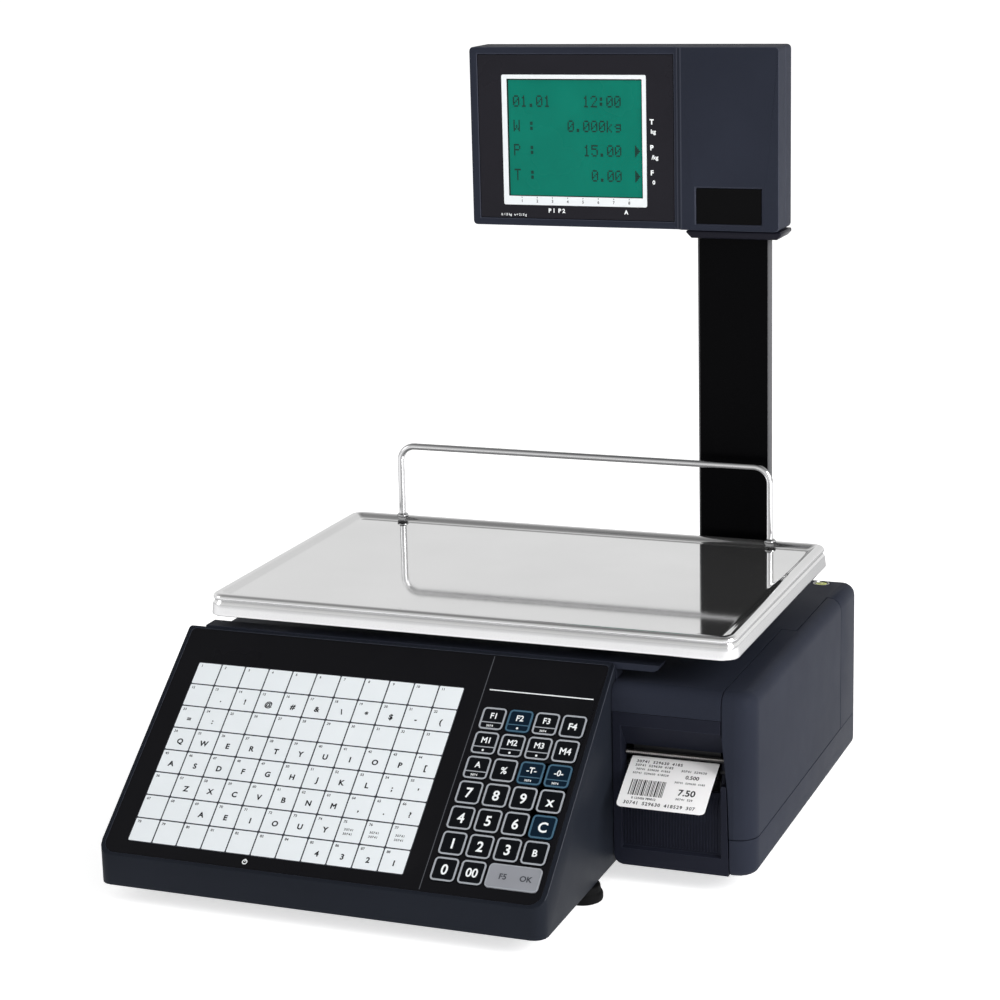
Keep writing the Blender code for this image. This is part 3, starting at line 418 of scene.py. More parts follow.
def add_piece(name, mesh, finishes, body, slot=None, stands_for=(), smooth=35.0):
    """Put a mesh in the scene as a piece that rides on a body."""
    for finish in finishes:
        mesh.materials.append(finish)
    if smooth:
        mesh.shade_smooth()
        mesh.set_sharp_from_angle(angle=math.radians(smooth))
    piece = bpy.data.objects.new(name, mesh)
    bpy.context.scene.collection.objects.link(piece)
    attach(piece, body)
    if stands_for:
        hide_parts(*stands_for)
    return piece


def mesh_from(build, name):
    """A mesh from a finished bmesh, its faces turned outward."""
    bmesh.ops.recalc_face_normals(build, faces=build.faces)
    mesh = bpy.data.meshes.new(name)
    build.to_mesh(mesh)
    build.free()
    return mesh


def loft(name, rings, closed_ends=True):
    """A mesh through rings of equal length, given in metres."""
    build = bmesh.new()
    rows = [[build.verts.new(spot) for spot in ring] for ring in rings]
    count = len(rows[0])
    for low, high in zip(rows, rows[1:]):
        for i in range(count):
            k = (i + 1) % count
            build.faces.new((low[i], low[k], high[k], high[i]))
    if closed_ends:
        build.faces.new(list(reversed(rows[0])))
        build.faces.new(rows[-1])
    return mesh_from(build, name)


def rounded(x0, x1, y0, y1, radius, steps=4):
    """Outline of a rectangle with round corners, anticlockwise from the lower left."""
    outline = []
    for cx, cy, turn in ((x0 + radius, y0 + radius, 180), (x1 - radius, y0 + radius, 270),
                         (x1 - radius, y1 - radius, 0), (x0 + radius, y1 - radius, 90)):
        for i in range(steps + 1):
            angle = math.radians(turn + 90.0 * i / steps)
            outline.append((cx + radius * math.cos(angle), cy + radius * math.sin(angle)))
    return outline


def circle(x, y, radius, steps=32):
    """Outline of a circle, anticlockwise."""
    turns = [2 * math.pi * i / steps for i in range(steps)]
    return [(x + radius * math.cos(turn), y + radius * math.sin(turn)) for turn in turns]


def extent(node):
    """A node's size across, back and up, in millimetres."""
    low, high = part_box(node)
    return (high - low) / MM


class Face:
    """A flat frame on the model: across and up from a corner given in metres, and out of the face."""

    def __init__(self, corner, across, up):
        self.corner = Vector(corner)
        self.across = Vector(across).normalized()
        self.up = Vector(up).normalized()
        self.out = self.across.cross(self.up)

    def at(self, x, y, lift=0.0):
        """The place on the model, in metres, of a point on this face."""
        return self.corner + (self.across * x + self.up * y + self.out * lift) * MM

    def span(self, node):
        """A node's extent on this face: across from and to, up from and to, and its highest lift."""
        spots = [vertex.co - self.corner for vertex in frame["nodes"][node].data.vertices]
        across = [spot.dot(self.across) / MM for spot in spots]
        up = [spot.dot(self.up) / MM for spot in spots]
        out = [spot.dot(self.out) / MM for spot in spots]
        return min(across), max(across), min(up), max(up), max(out)


class BentFace(Face):
    """A face that sags by a little between its two ends, over the given length."""

    def __init__(self, corner, across, up, length, sag):
        super().__init__(corner, across, up)
        self.length = length
        self.sag = sag

    def at(self, x, y, lift=0.0):
        """As Face.at, with the sag added to the lift."""
        along = y / self.length
        return super().at(x, y, lift + self.sag * 4 * along * (1 - along))


def face_of(node):
    """The face across a node's largest flat side, with its corner at the side's lower left."""
    mesh = frame["nodes"][node].data
    areas = {}
    for polygon in mesh.polygons:
        key = tuple(round(value, 2) for value in polygon.normal)
        areas[key] = areas.get(key, 0.0) + polygon.area
    upward = {key: area for key, area in areas.items() if key[2] > 0.2}
    best = max(upward, key=upward.get)
    normal = next(p.normal for p in mesh.polygons if tuple(round(v, 2) for v in p.normal) == best).copy()
    up = normal.cross(X_AXIS)
    spots = [vertex.co for vertex in mesh.vertices]
    corner = (X_AXIS * min(spot.dot(X_AXIS) for spot in spots) + up * min(spot.dot(up) for spot in spots)
              + normal * max(spot.dot(normal) for spot in spots))
    return Face(corner, X_AXIS, up)


text_cache = {}
CAPITAL_HEIGHT = 0.72   # of Blender's own font, at a size of one


def text_shape(words, bold):
    """Blender's own font as (vertices, faces), centred, with capitals one unit high."""
    if (words, bold) not in text_cache:
        curve = bpy.data.curves.new("words", "FONT")
        curve.body = words
        curve.resolution_u = 3
        curve.extrude = 0.1
        curve.bevel_depth = bold
        curve.bevel_resolution = 0
        holder = bpy.data.objects.new("words", curve)
        mesh = bpy.data.meshes.new_from_object(holder)
        spots = [vertex.co.copy() for vertex in mesh.vertices]
        middle = (min(s.x for s in spots) + max(s.x for s in spots)) / 2
        base = CAPITAL_HEIGHT / 2
        shape = [((s.x - middle) / CAPITAL_HEIGHT, (s.y - base) / CAPITAL_HEIGHT, s.z > 0) for s in spots]
        text_cache[words, bold] = (shape, [tuple(polygon.vertices) for polygon in mesh.polygons])
        bpy.data.objects.remove(holder)
        bpy.data.meshes.remove(mesh)
        bpy.data.curves.remove(curve)
    return text_cache[words, bold]


class Marks:
    """Thin raised shapes on a face, gathered into one piece."""

    def __init__(self, face, lift, thick=0.06):
        self.face = face
        self.lift = lift
        self.thick = thick
        self.build = bmesh.new()

    def plate(self, outline, finish=0):
        """A flat shape with the given outline."""
        top = self.lift + self.thick
        low = [self.build.verts.new(self.face.at(x, y, self.lift)) for x, y in outline]
        high = [self.build.verts.new(self.face.at(x, y, top)) for x, y in outline]
        faces = [self.build.faces.new(low[::-1]), self.build.faces.new(high)]
        for i in range(len(outline)):
            k = (i + 1) % len(outline)
            faces.append(self.build.faces.new((low[i], low[k], high[k], high[i])))
        for made in faces:
            made.material_index = finish

    def bar(self, x0, x1, y0, y1, finish=0):
        """A flat rectangle."""
        self.plate([(x0, y0), (x1, y0), (x1, y1), (x0, y1)], finish)

    def ring(self, outer, inner, finish=0):
        """A flat band between two outlines of as many points."""
        top = self.lift + self.thick
        rows = [[self.build.verts.new(self.face.at(x, y, height)) for x, y in outline]
                for outline, height in ((outer, self.lift), (outer, top), (inner, top), (inner, self.lift))]
        rows.append(rows[0])
        for first, second in zip(rows, rows[1:]):
            for i in range(len(first)):
                k = (i + 1) % len(first)
                made = self.build.faces.new((first[i], first[k], second[k], second[i]))
                made.material_index = finish

    def text(self, words, x, y, height, finish=0, wide=1.0, bold=0.02):
        """Words centred on a place, their capitals of the given height."""
        shape, faces = text_shape(words, bold)
        verts = [self.build.verts.new(self.face.at(x + px * height * wide, y + py * height,
                                                   self.lift + (self.thick if top else 0.0)))
                 for px, py, top in shape]
        for corners in faces:
            made = self.build.faces.new([verts[i] for i in corners])
            made.material_index = finish

    def figures(self, x, y, length, height, finish=0):
        """A line of plain figures in place of words, from x over the given length."""
        pitch = 0.82 * height
        for place in range(int(length / pitch)):
            if place % 7 != 5:
                self.text(str((place * 7 + 3) % 10), x + (place + 0.5) * pitch, y, height, finish)

    def make(self, name, finishes, body, slot):
        """The marks as one piece that rides on a body."""
        return add_piece(name, mesh_from(self.build, name), finishes, body, slot, smooth=30.0)


def refined(node, finish, width=0.6, segments=2, angle=32.0, edges=None):
    """A copy of a CAD node, its flat sides whole and its edges rounded, that stands for the node.

    The rounded edges may take a lighter finish of their own, which paints a highlight along them.
    """
    build = bmesh.new()
    build.from_mesh(frame["nodes"][node].data)
    bmesh.ops.remove_doubles(build, verts=build.verts, dist=2e-6)
    bmesh.ops.dissolve_limit(build, angle_limit=math.radians(0.5), verts=build.verts, edges=build.edges)
    mesh = bpy.data.meshes.new(node + "_finish")
    for face in build.faces:
        face.material_index = 0
    build.to_mesh(mesh)
    build.free()
    # with edges given, the bevel faces take that lighter finish: a painted highlight along the rounded
    # edges
    finishes = [finish, edges] if edges else [finish]
    piece = add_piece(node + "_finish", mesh, finishes, BODY_OF[node], SLOT_OF[node], (node,), 38.0)
    if width:
        edge = piece.modifiers.new("edges", "BEVEL")
        edge.material = len(finishes) - 1
        edge.width = width * MM
        edge.segments = segments
        edge.limit_method = "ANGLE"
        edge.angle_limit = math.radians(angle)
        edge.harden_normals = True
        edge.use_clamp_overlap = True
    return piece


def give(node, finish):
    """A CAD node that is shown as it is takes a finish."""
    materials = frame["nodes"][node].data.materials
    materials.clear()
    materials.append(finish)


def turned(name, profile, centre, axis, finishes, body, slot, stands_for=(), steps=64, bands=()):
    """A piece turned about an axis ("X" or "Z") from (place along it, radius) pairs."""
    rings = []
    for along, radius in profile:
        if axis == "X":
            ring = [centre + Vector((along, y, z)) * MM for y, z in circle(0, 0, radius, steps)]
        else:
            ring = [centre + Vector((x, y, along)) * MM for x, y in circle(0, 0, radius, steps)]
        rings.append(ring)
    mesh = loft(name, rings)
    piece = add_piece(name, mesh, finishes, body, slot, stands_for, 32.0)
    for band, (first, last) in enumerate(bands, start=1):
        for polygon in mesh.polygons:
            row = polygon.index // steps
            if first <= row < last and polygon.index < steps * (len(profile) - 1):
                polygon.material_index = band
    return piece


# ---------------------------------------------------------------- case and keyboard

def make_case():
    """The two case shells, the printer's door and the keyboard housing."""
    for node in ("upper_case", "lower_case", "printer_door"):
        refined(node, case_look, SOFT_EDGE)
    # the housing's rounded edges carry a painted highlight
    refined("keyboard_housing", housing_look, 0.5, edges=housing_edge_highlight)


def make_overlay():
    """The film round the keys, printed with a divider, a bar and a power sign."""
    refined("keypad_overlay", film_look, 0.25)
    _, right, bottom, top, lift = slope.span("keypad_overlay")
    marks = Marks(slope, lift, 0.05)
    marks.bar(*DIVIDER, bottom + DIVIDER_GAPS[0], top - DIVIDER_GAPS[1], 1)
    marks.bar(DIVIDER[0] + OVERLAY_BAR_GAPS[0], right - OVERLAY_BAR_GAPS[1], *OVERLAY_BAR)
    marks.ring(circle(*POWER_SIGN, POWER_RADII[0]), circle(*POWER_SIGN, POWER_RADII[1]))
    x, y = POWER_SIGN
    half, length = POWER_STROKE
    marks.bar(x - half, x + half, y, y + length)
    marks.make("overlay_print", [white_ink, dim_ink], "scale", "film")


def make_speed_keys():
    """The sheet of speed keys: pale fields on a dark ground, each with its number and its sign."""
    give("speed_key_sheet", line_look)
    left, right, bottom, top, lift = slope.span("speed_key_sheet")
    wide = (right - left) / SPEED_COLUMNS
    tall = (top - bottom) / SPEED_ROWS
    gap = SPEED_LINE / 2
    fields = Marks(slope, lift, FIELD_THICK)
    signs = Marks(slope, lift + FIELD_THICK, 0.03)
    for row, row_signs in enumerate(SPEED_SIGNS):
        for column, sign in enumerate(row_signs):
            x = left + column * wide
            y = top - (row + 1) * tall
            fields.plate(rounded(x + gap, x + wide - gap, y + gap, y + tall - gap, 0.7, 2))
            number = str(row * SPEED_COLUMNS + column + 1)
            signs.text(number, x + NUMBER_ACROSS, y + tall - NUMBER_DOWN, NUMBER_HEIGHT)
            if sign != " ":
                signs.text(sign, x + wide * SIGN_ACROSS, y + tall * SIGN_UP, SIGN_HEIGHT, bold=0.035)
            if row == WORDED_ROW and column in WORDED_COLUMNS:
                for across, up in FIELD_WORDS:
                    signs.figures(x + across, y + up, 9.0, 1.7)
    fields.make("speed_key_fields", [field_look], "scale", "sheet")
    signs.make("speed_key_print", [black_ink], "scale", "sheet")


def key_rim(marks, sides, inner, corners):
    """A raised rim just inside a key's edge."""
    left, right, bottom, top = sides
    marks.ring(*(rounded(left + inset, right - inset, bottom + inset, top - inset, corner)
                 for inset, corner in zip((RIM_OUTER, inner), corners)))


def sign_height(name, lower_field):
    """How tall a key's sign is."""
    if lower_field:
        return SMALL_SIGN
    if name == "00":
        return DOUBLE_SIGN
    return LARGE_SIGN if name.isdigit() or name in ("multiply", "clear") else PLAIN_SIGN


def make_function_key(node):
    """A key cap with its raised rim and its sign."""
    name = node[len("key_"):]
    blue = node in BLUE_KEYS
    refined(node, blue_look if blue else grey_look if name == "print" else key_look, 0.2)
    left, right, bottom, top, lift = slope.span(node)
    sides = (left, right, bottom, top)
    marks = Marks(slope, lift, 0.1)
    x, y = (left + right) / 2, (bottom + top) / 2
    inks = [blue_rim_ink if blue else rim_ink, white_ink]
    if name == "print":
        for sign, across in PRINT_SIGNS:
            marks.text(sign, x + across, y, PRINT_SIGN_HEIGHT, 2)
        key_rim(marks, sides, PRINT_RIM_INNER, PRINT_RIM_CORNERS)
        marks.make(node + "_marks", [*inks, grey_ink], BODY_OF[node], SLOT_OF[node])
        return
    key_rim(marks, sides, RIM_INNER, RIM_CORNERS)
    sign, lower_field = KEY_SIGNS.get(name, (name, False))
    size = sign_height(name, lower_field)
    if lower_field:
        y += SIGN_RAISED
        field = bottom + KEY_FIELD_MIDDLE
        line_low, line_high = KEY_FIELD_LINE
        marks.bar(left + RIM_INNER - 0.1, right - RIM_INNER + 0.1, bottom + line_low, bottom + line_high)
        if name in DOTTED_KEYS:
            marks.plate(circle(x, field, 0.8, 12), 1)
        else:
            marks.figures(x - 3.2, field, 6.0, 1.5, 1)
    marks.text(sign, x, y, size, 1, 0.92)
    marks.make(node + "_marks", inks, BODY_OF[node], SLOT_OF[node])


def make_spirit_level():
    """A bull's-eye level: a metal rim, the fluid's domed window, a ring on it and the bubble."""
    low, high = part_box("spirit_level")
    centre = Vector(((low.x + high.x) / 2, (low.y + high.y) / 2, high.z))
    outer = (high.x - low.x) / 2 / MM
    inner = outer - 1.8
    rim = ((-5.0, outer - 0.3), (-0.3, outer - 0.3), (0.0, outer - 0.6), (0.0, outer - 1.3),
           (-0.9, outer - 1.7), (-5.0, outer - 1.7))
    window = ((-5.0, inner), (-1.0, inner), (-0.6, inner - 0.6), (-0.35, inner * 0.6), (-0.28, 0.6))
    turned("level_rim", rim, centre, "Z", [chrome_look], "scale", "level", ("spirit_level",))
    turned("level_fluid", window, centre, "Z", [vial_look], "scale", "level")
    marks = Marks(Face(centre, X_AXIS, Y_AXIS), -0.3, 0.08)
    marks.ring(*(circle(0, 0, radius) for radius in LEVEL_RING))
    marks.plate(circle(*LEVEL_BUBBLE, 20), 1)
    marks.make("level_bubble", [black_ink, bubble_look], "scale", "level")


def make_feet():
    """Four rubber feet on steel stems."""
    for spot in ("front_left", "front_right", "rear_left", "rear_right"):
        node = "foot_" + spot
        low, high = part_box(node)
        centre = Vector(((low.x + high.x) / 2, (low.y + high.y) / 2, low.z))
        turned(node + "_turned", FOOT_PROFILE, centre, "Z", [rubber_look, bracket_look], BODY_OF[node],
               "rubber", (node,), bands=(FOOT_STEM,))


# ---------------------------------------------------------------- weighing

def make_platter():
    """The pressed steel pan: a flat sheet, a raised bead, a groove under it and a skirt."""
    low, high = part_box("platter")
    wide, deep, _ = extent("platter")
    rings = []
    for inset, drop in PAN_PROFILE:
        outline = rounded(inset, wide - inset, inset, deep - inset,
                          max(PAN_CORNER - inset, PAN_CORNER_LEAST), PAN_STEPS)
        rings.append([Vector((low.x + x * MM, low.y + y * MM, high.z + drop * MM)) for x, y in outline])
    mesh = loft("platter_pan", rings, closed_ends=False)
    build = bmesh.new()
    build.from_mesh(mesh)
    build.verts.ensure_lookup_table()
    build.faces.new(build.verts[-len(rings[0]):])
    bmesh.ops.recalc_face_normals(build, faces=build.faces)
    if max(build.faces, key=lambda f: f.calc_area()).normal.z < 0:
        bmesh.ops.reverse_faces(build, faces=build.faces)
    build.to_mesh(mesh)
    build.free()
    piece = add_piece("platter_pan", mesh, [platter_look, skirt_look], "platter_set", "stainless",
                      ("platter",), 50.0)
    for polygon in mesh.polygons:
        if abs(polygon.normal.z) < 0.5 and polygon.center.z < high.z - SKIRT_DEPTH * MM:
            polygon.material_index = 1
    sheet = piece.modifiers.new("sheet", "SOLIDIFY")
    sheet.thickness = SHEET_THICK * MM
    sheet.offset = -1.0


def make_rail():
    """The guard rail: one bent tube with a small collar at each foot."""
    low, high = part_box("guard_rail")
    radius = (high.y - low.y) / 2
    bend = RAIL_BEND * MM
    left, right, top = low.x + radius, high.x - radius, high.z - radius
    route = [(left, low.z)]
    for centre_x, first in ((left + bend, 180.0), (right - bend, 90.0)):
        for i in range(RAIL_STEPS + 1):
            turn = math.radians(first - 90.0 * i / RAIL_STEPS)
            route.append((centre_x + bend * math.cos(turn), top - bend + bend * math.sin(turn)))
    route.append((right, low.z))
    wire = bpy.data.curves.new("rail_tube", "CURVE")
    wire.dimensions = "3D"
    wire.bevel_depth = radius
    wire.bevel_resolution = 8
    wire.use_fill_caps = True
    line = wire.splines.new("POLY")
    line.points.add(len(route) - 1)
    for point, (x, z) in zip(line.points, route):
        point.co = (x, low.y + radius, z, 1.0)
    line.use_smooth = True
    wire.materials.append(rail_look)
    tube = bpy.data.objects.new("rail_tube", wire)
    bpy.context.scene.collection.objects.link(tube)
    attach(tube, "platter_set")
    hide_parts("guard_rail")
    for side, x in (("left", left), ("right", right)):
        centre = Vector((x, low.y + radius, low.z))
        turned("rail_foot_" + side, RAIL_FOOT_PROFILE, centre, "Z", [rail_look], "platter_set", "stainless")


def make_weighing():
    """The platter with its rail, and the carrier and load cell under it."""
    make_platter()
    make_rail()
    refined("platter_carrier", dark_look, SOFT_EDGE)
    refined("load_cell", cell_look, FINE_EDGE)


# ---------------------------------------------------------------- printer

def make_ribs():
    """Vertical ribs over the front of the cartridge, under the label."""
    low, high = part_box("cartridge_front")
    front = low.y / MM + RIB_FRONT
    build = bmesh.new()
    x = low.x / MM + RIB_MARGINS[0]
    while x < high.x / MM - RIB_MARGINS[1]:
        rows = []
        for back, z, proud in RIB_PATH:
            y = front + back
            spots = ((x - RIB_HALF, y + RIB_ROOT), (x - RIB_HALF / 2, y - proud),
                     (x + RIB_HALF / 2, y - proud), (x + RIB_HALF, y + RIB_ROOT))
            rows.append([build.verts.new(Vector((a, b, z)) * MM) for a, b in spots])
        for first, second in zip(rows, rows[1:]):
            for i in range(4):
                k = (i + 1) % 4
                build.faces.new((first[i], first[k], second[k], second[i]))
        build.faces.new(rows[0][::-1])
        build.faces.new(rows[-1])
        x += RIB_PITCH
    mesh = mesh_from(build, "cartridge_ribs")
    add_piece("cartridge_ribs", mesh, [dark_look], "cartridge", "dark", smooth=20.0)


def make_tear_bar():
    """The toothed blade that labels are torn on, and the bar that holds it."""
    low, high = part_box("tear_bar")
    wide, _, tall = extent("tear_bar")
    count = int(wide / TOOTH_WIDTH) + 1
    step = (high.x - low.x) / count
    valley = low.y + TOOTH_DEPTH * MM
    outline = [(high.x, high.y), (low.x, high.y)]
    for i in range(count):
        start = low.x + step * i
        outline.append((start, valley))
        outline.append((start + step / 2, low.y))
    outline.append((high.x, valley))
    levels = (high.z - TOOTH_THICK * MM, high.z)
    mesh = loft("tear_bar_teeth", [[Vector((x, y, z)) for x, y in outline[::-1]] for z in levels])
    add_piece("tear_bar_teeth", mesh, [bar_look], "cartridge", "stainless", ("tear_bar",), 20.0)
    support = Marks(Face((low.x, high.y, low.z), X_AXIS, Z_AXIS), 0.2, SUPPORT_DEPTH)
    support.bar(0.0, wide, 0.0, tall - TOOTH_THICK - 0.05)
    support.make("tear_bar_support", [socket_look], "cartridge", "stainless")


def label_face():
    """The sagging face that the label lies on, with the label's width and length."""
    flat = face_of("printed_label")
    wide, deep, tall = extent("printed_label")
    long = math.hypot(deep, tall) - LABEL_SHORT
    return BentFace(flat.corner, flat.across, flat.up, long, LABEL_SAG), wide, long


def make_label_sheet(face, wide, long):
    """The label itself, with round corners at its free end."""
    build = bmesh.new()
    rows = []
    for i in range(LABEL_ROWS + 1):
        y = long * (i / LABEL_ROWS) ** 1.3
        short = max(LABEL_CORNER - y, 0.0)
        trim = LABEL_CORNER - math.sqrt(LABEL_CORNER ** 2 - short ** 2)
        rows.append([(trim + (wide - 2 * trim) * j / LABEL_COLUMNS, y) for j in range(LABEL_COLUMNS + 1)])
    for lift, flip in ((0.0, False), (-LABEL_THICK, True)):
        grid = [[build.verts.new(face.at(x, y, lift)) for x, y in row] for row in rows]
        for first, second in zip(grid, grid[1:]):
            for a in range(LABEL_COLUMNS):
                corners = [first[a], first[a + 1], second[a + 1], second[a]]
                build.faces.new(corners[::-1] if flip else corners)
    bmesh.ops.bridge_loops(build, edges=[edge for edge in build.edges if edge.is_boundary])
    mesh = mesh_from(build, "label_sheet")
    add_piece("label_sheet", mesh, [paper_look], "cartridge", "paper", ("printed_label",))


def make_label():
    """The issued label, printed with a bar code and with figures in place of words."""
    face, wide, long = label_face()
    make_label_sheet(face, wide, long)
    marks = Marks(face, 0.02, 0.05)
    for x, y, length, height in LABEL_FIGURES:
        marks.figures(x, y if y > 0 else long + y, length, height)
    for words, x, y, height in LABEL_WORDS:
        marks.text(words, x, y if y > 0 else long + y, height)
    place = BARCODE_LEFT
    for i, width in enumerate(BARCODE_WIDTHS):
        for bottom, top in BARCODE_ROWS:
            marks.bar(place, place + width, bottom, top)
        place += width + BARCODE_GAPS[i % len(BARCODE_GAPS)]
    marks.make("label_print", [black_ink], "cartridge", "paper")


def spindle(node):
    """Where a roller's axis starts, and the roller's width and radius."""
    low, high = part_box(node)
    wide, _, across = extent(node)
    return Vector((low.x, (low.y + high.y) / 2, (low.z + high.z) / 2)), wide, across / 2


def make_label_roll():
    """The labels wound on a cardboard core."""
    centre, wide, radius = spindle("label_roll")
    body = BODY_OF["label_roll"]
    wound = ringed("wound_paper", srgb(236, 232, 230), centre, WINDING_PITCH)
    winding = ((0.0, WINDING_BORE), (0.0, radius - 0.5), (0.5, radius), (wide - 0.5, radius),
               (wide, radius - 0.5), (wide, WINDING_BORE), (0.0, WINDING_BORE))
    turned("paper_winding", winding, centre, "X", [wound, paper_look], body, "paper", ("label_roll",),
           bands=((2, 3),))
    core = ((-CORE_PROUD, CORE_BORE), (-CORE_PROUD, CORE_RADIUS), (wide + CORE_PROUD, CORE_RADIUS),
            (wide + CORE_PROUD, CORE_BORE), (-CORE_PROUD, CORE_BORE))
    turned("card_core", core, centre, "X", [card_look], body, "paper")


def make_takeup_reel():
    """The reel that takes up the backing paper, with a flange at each end."""
    centre, wide, radius = spindle("takeup_reel")
    profile = ((0.0, REEL_BORE), (0.0, radius - 0.5), (0.5, radius), (2.0, radius), (2.5, radius - 0.5),
               (2.5, REEL_HUB), (wide - 2.5, REEL_HUB), (wide - 2.5, radius - 0.5), (wide - 2.0, radius),
               (wide - 0.5, radius), (wide, radius - 0.5), (wide, REEL_BORE), (0.0, REEL_BORE))
    turned("reel_spool", profile, centre, "X", [reel_look], BODY_OF["takeup_reel"], "reel",
           ("takeup_reel",))


def make_platen_roller():
    """The rubber roller under the print head, on its thin shaft."""
    centre, wide, radius = spindle("platen_roller")
    profile = ((0.0, 2.0), (0.5, 2.5), (6.0, 2.5), (6.0, radius - 0.3), (6.3, radius), (wide - 5.8, radius),
               (wide - 5.5, radius - 0.3), (wide - 5.5, 2.5), (wide - 0.5, 2.5), (wide, 2.0))
    turned("roller_rubber", profile, centre, "X", [socket_look, rubber_look], BODY_OF["platen_roller"],
           "rubber", ("platen_roller",), bands=((2, 7),))


def make_printer():
    """The cartridge with its label, rolls and print head."""
    # the cartridge front's rounded edges carry a painted highlight
    refined("cartridge_front", dark_look, SOFT_EDGE, edges=dark_edge_highlight)
    refined("cartridge_frame", dark_look, FINE_EDGE)
    refined("print_head", socket_look, FINE_EDGE)
    make_ribs()
    make_tear_bar()
    make_label()
    make_label_roll()
    make_takeup_reel()
    make_platen_roller()


# ---------------------------------------------------------------- display

def make_pole():
    """The pole in its bracket, with a black cover on its front and back, and the head's collar."""
    low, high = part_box("pole")
    refined("pole", pole_look, 0.0)
    refined("pole_bracket", bracket_look, 0.5)
    refined("head_collar", collar_look, SOFT_EDGE)
    wide, _, tall = extent("pole")
    front = Face(low, X_AXIS, Z_AXIS)
    back = Face((high.x, high.y, low.z), -X_AXIS, Z_AXIS)
    for side, face in (("front", front), ("back", back)):
        cover = Marks(face, 0.02, 0.2)
        cover.plate(rounded(POLE_COVER_SIDES[0], wide - POLE_COVER_SIDES[1],
                            POLE_COVER_END, tall - POLE_COVER_END, 0.8, 3))
        cover.make("pole_cover_" + side, [pole_black], "scale", "pole")


def dotted(marks, words, x, y):
    """Words in square dots, with the first sign's left edge at x and its middle height at y."""
    for place, sign in enumerate(words):
        for row, dots in enumerate(DOT_SIGNS.get(sign, "").split()):
            for column, dot in enumerate(dots):
                if dot == "1":
                    left = x + place * DOT_COLUMN + column * DOT_PITCH[0]
                    low = y + (3.5 - row - 1) * DOT_PITCH[1]
                    marks.bar(left, left + DOT_PITCH[0] * DOT_SHARE, low, low + DOT_PITCH[1] * DOT_SHARE)


def make_display(name, face, front):
    """The print of a display: its ring, the dots and the words round it, and a dark band inside the ring
    that is painted shadow of the ring's depth on the glass.

    The face's corner is the window's lower left, and front is how far out the glass lies.
    """
    ring = Marks(face, 0.02, RING_THICK)
    ring.ring(rounded(*LCD_RING, 1.2, 3), rounded(*LCD_GLASS, 0.4, 3))
    ring.lift += RING_THICK
    ring.thick = 0.04
    for number in range(TICK_COUNT):
        x = TICK_FIRST + number * TICK_PITCH
        ring.text(str(number + 1), x, *TICK_NUMBER, 1)
        ring.bar(x - 0.25, x + 0.25, *TICK_LINE, 1)
    ring.make(name + "_ring", [ring_look, black_ink], "scale", "film")
    # a dark band round the inside of the glass: painted shadow cast by the ring's depth
    ring_shadow = Marks(face, front + 0.01, 0.03)
    ring_shadow.ring(rounded(*LCD_GLASS, 0.4, 3), rounded(*LCD_FIELD, 0.3, 3))
    ring_shadow.make(name + "_ring_shadow", [lcd_ring_shadow_ink], "scale", "lcd")
    dots = Marks(face, front + 0.01, 0.04)
    for words, x, y in DISPLAY_LINES:
        dotted(dots, words, x, y)
    dots.make(name + "_dots", [lcd_ink], "scale", "lcd")
    print_on = Marks(face, 0.02, 0.05)
    for words, x, y, height, bold in DISPLAY_WORDS:
        print_on.text(words, x, y, height, bold=bold)
    print_on.make(name + "_print", [white_ink], "scale", "film")


def make_rear_display():
    """The customer's display, in the pocket behind the operator's one."""
    low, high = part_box("display_window")
    wide, _, tall = extent("display_window")
    shell_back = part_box("head_rear_shell")[1].y
    face = Face((high.x, shell_back - REAR_POCKET * MM, low.z), -X_AXIS, Z_AXIS)
    plate = Marks(face, 0.02, REAR_PLATE)
    plate.plate(rounded(0.3, wide - 0.3, 0.3, tall - 0.3, 0.8, 3))
    plate.make("rear_window", [window_look], "scale", "film")
    front = Face(face.at(0.0, 0.0, REAR_PLATE + 0.02), -X_AXIS, Z_AXIS)
    glass_thick = 0.1
    glass = Marks(front, 0.0, glass_thick)
    glass.plate(rounded(*LCD_GLASS, 0.4, 2))
    glass.make("rear_lcd", [lcd_look], "scale", "lcd")
    make_display("rear_display", front, glass_thick)


def make_head():
    """The display head: two shells, the operator's window and the customer's display behind it."""
    # the shells' rounded edges carry a painted highlight
    for node in ("head_front_shell", "head_rear_shell"):
        refined(node, case_look, SOFT_EDGE, edges=dark_edge_highlight)
    refined("display_window", window_look, 0.15, 1)
    give("lcd_panel", lcd_look)
    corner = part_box("display_window")[0]
    lcd_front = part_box("lcd_panel")[0].y
    shell_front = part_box("head_front_shell")[0].y
    make_display("front_display", Face(corner, X_AXIS, Z_AXIS), (corner.y - lcd_front) / MM)
    badge = Face((corner.x, shell_front + BADGE_RECESS * MM, corner.z), X_AXIS, Z_AXIS)
    insert = Marks(badge, 0.02, BADGE_THICK)
    insert.plate(rounded(*BADGE, 0.6, 3))
    piece = insert.make("badge_insert", [badge_look], "scale", "film")
    edge = piece.modifiers.new("edges", "BEVEL")
    edge.width = 0.3 * MM
    edge.segments = 2
    make_rear_display()


# ---------------------------------------------------------------- electrics

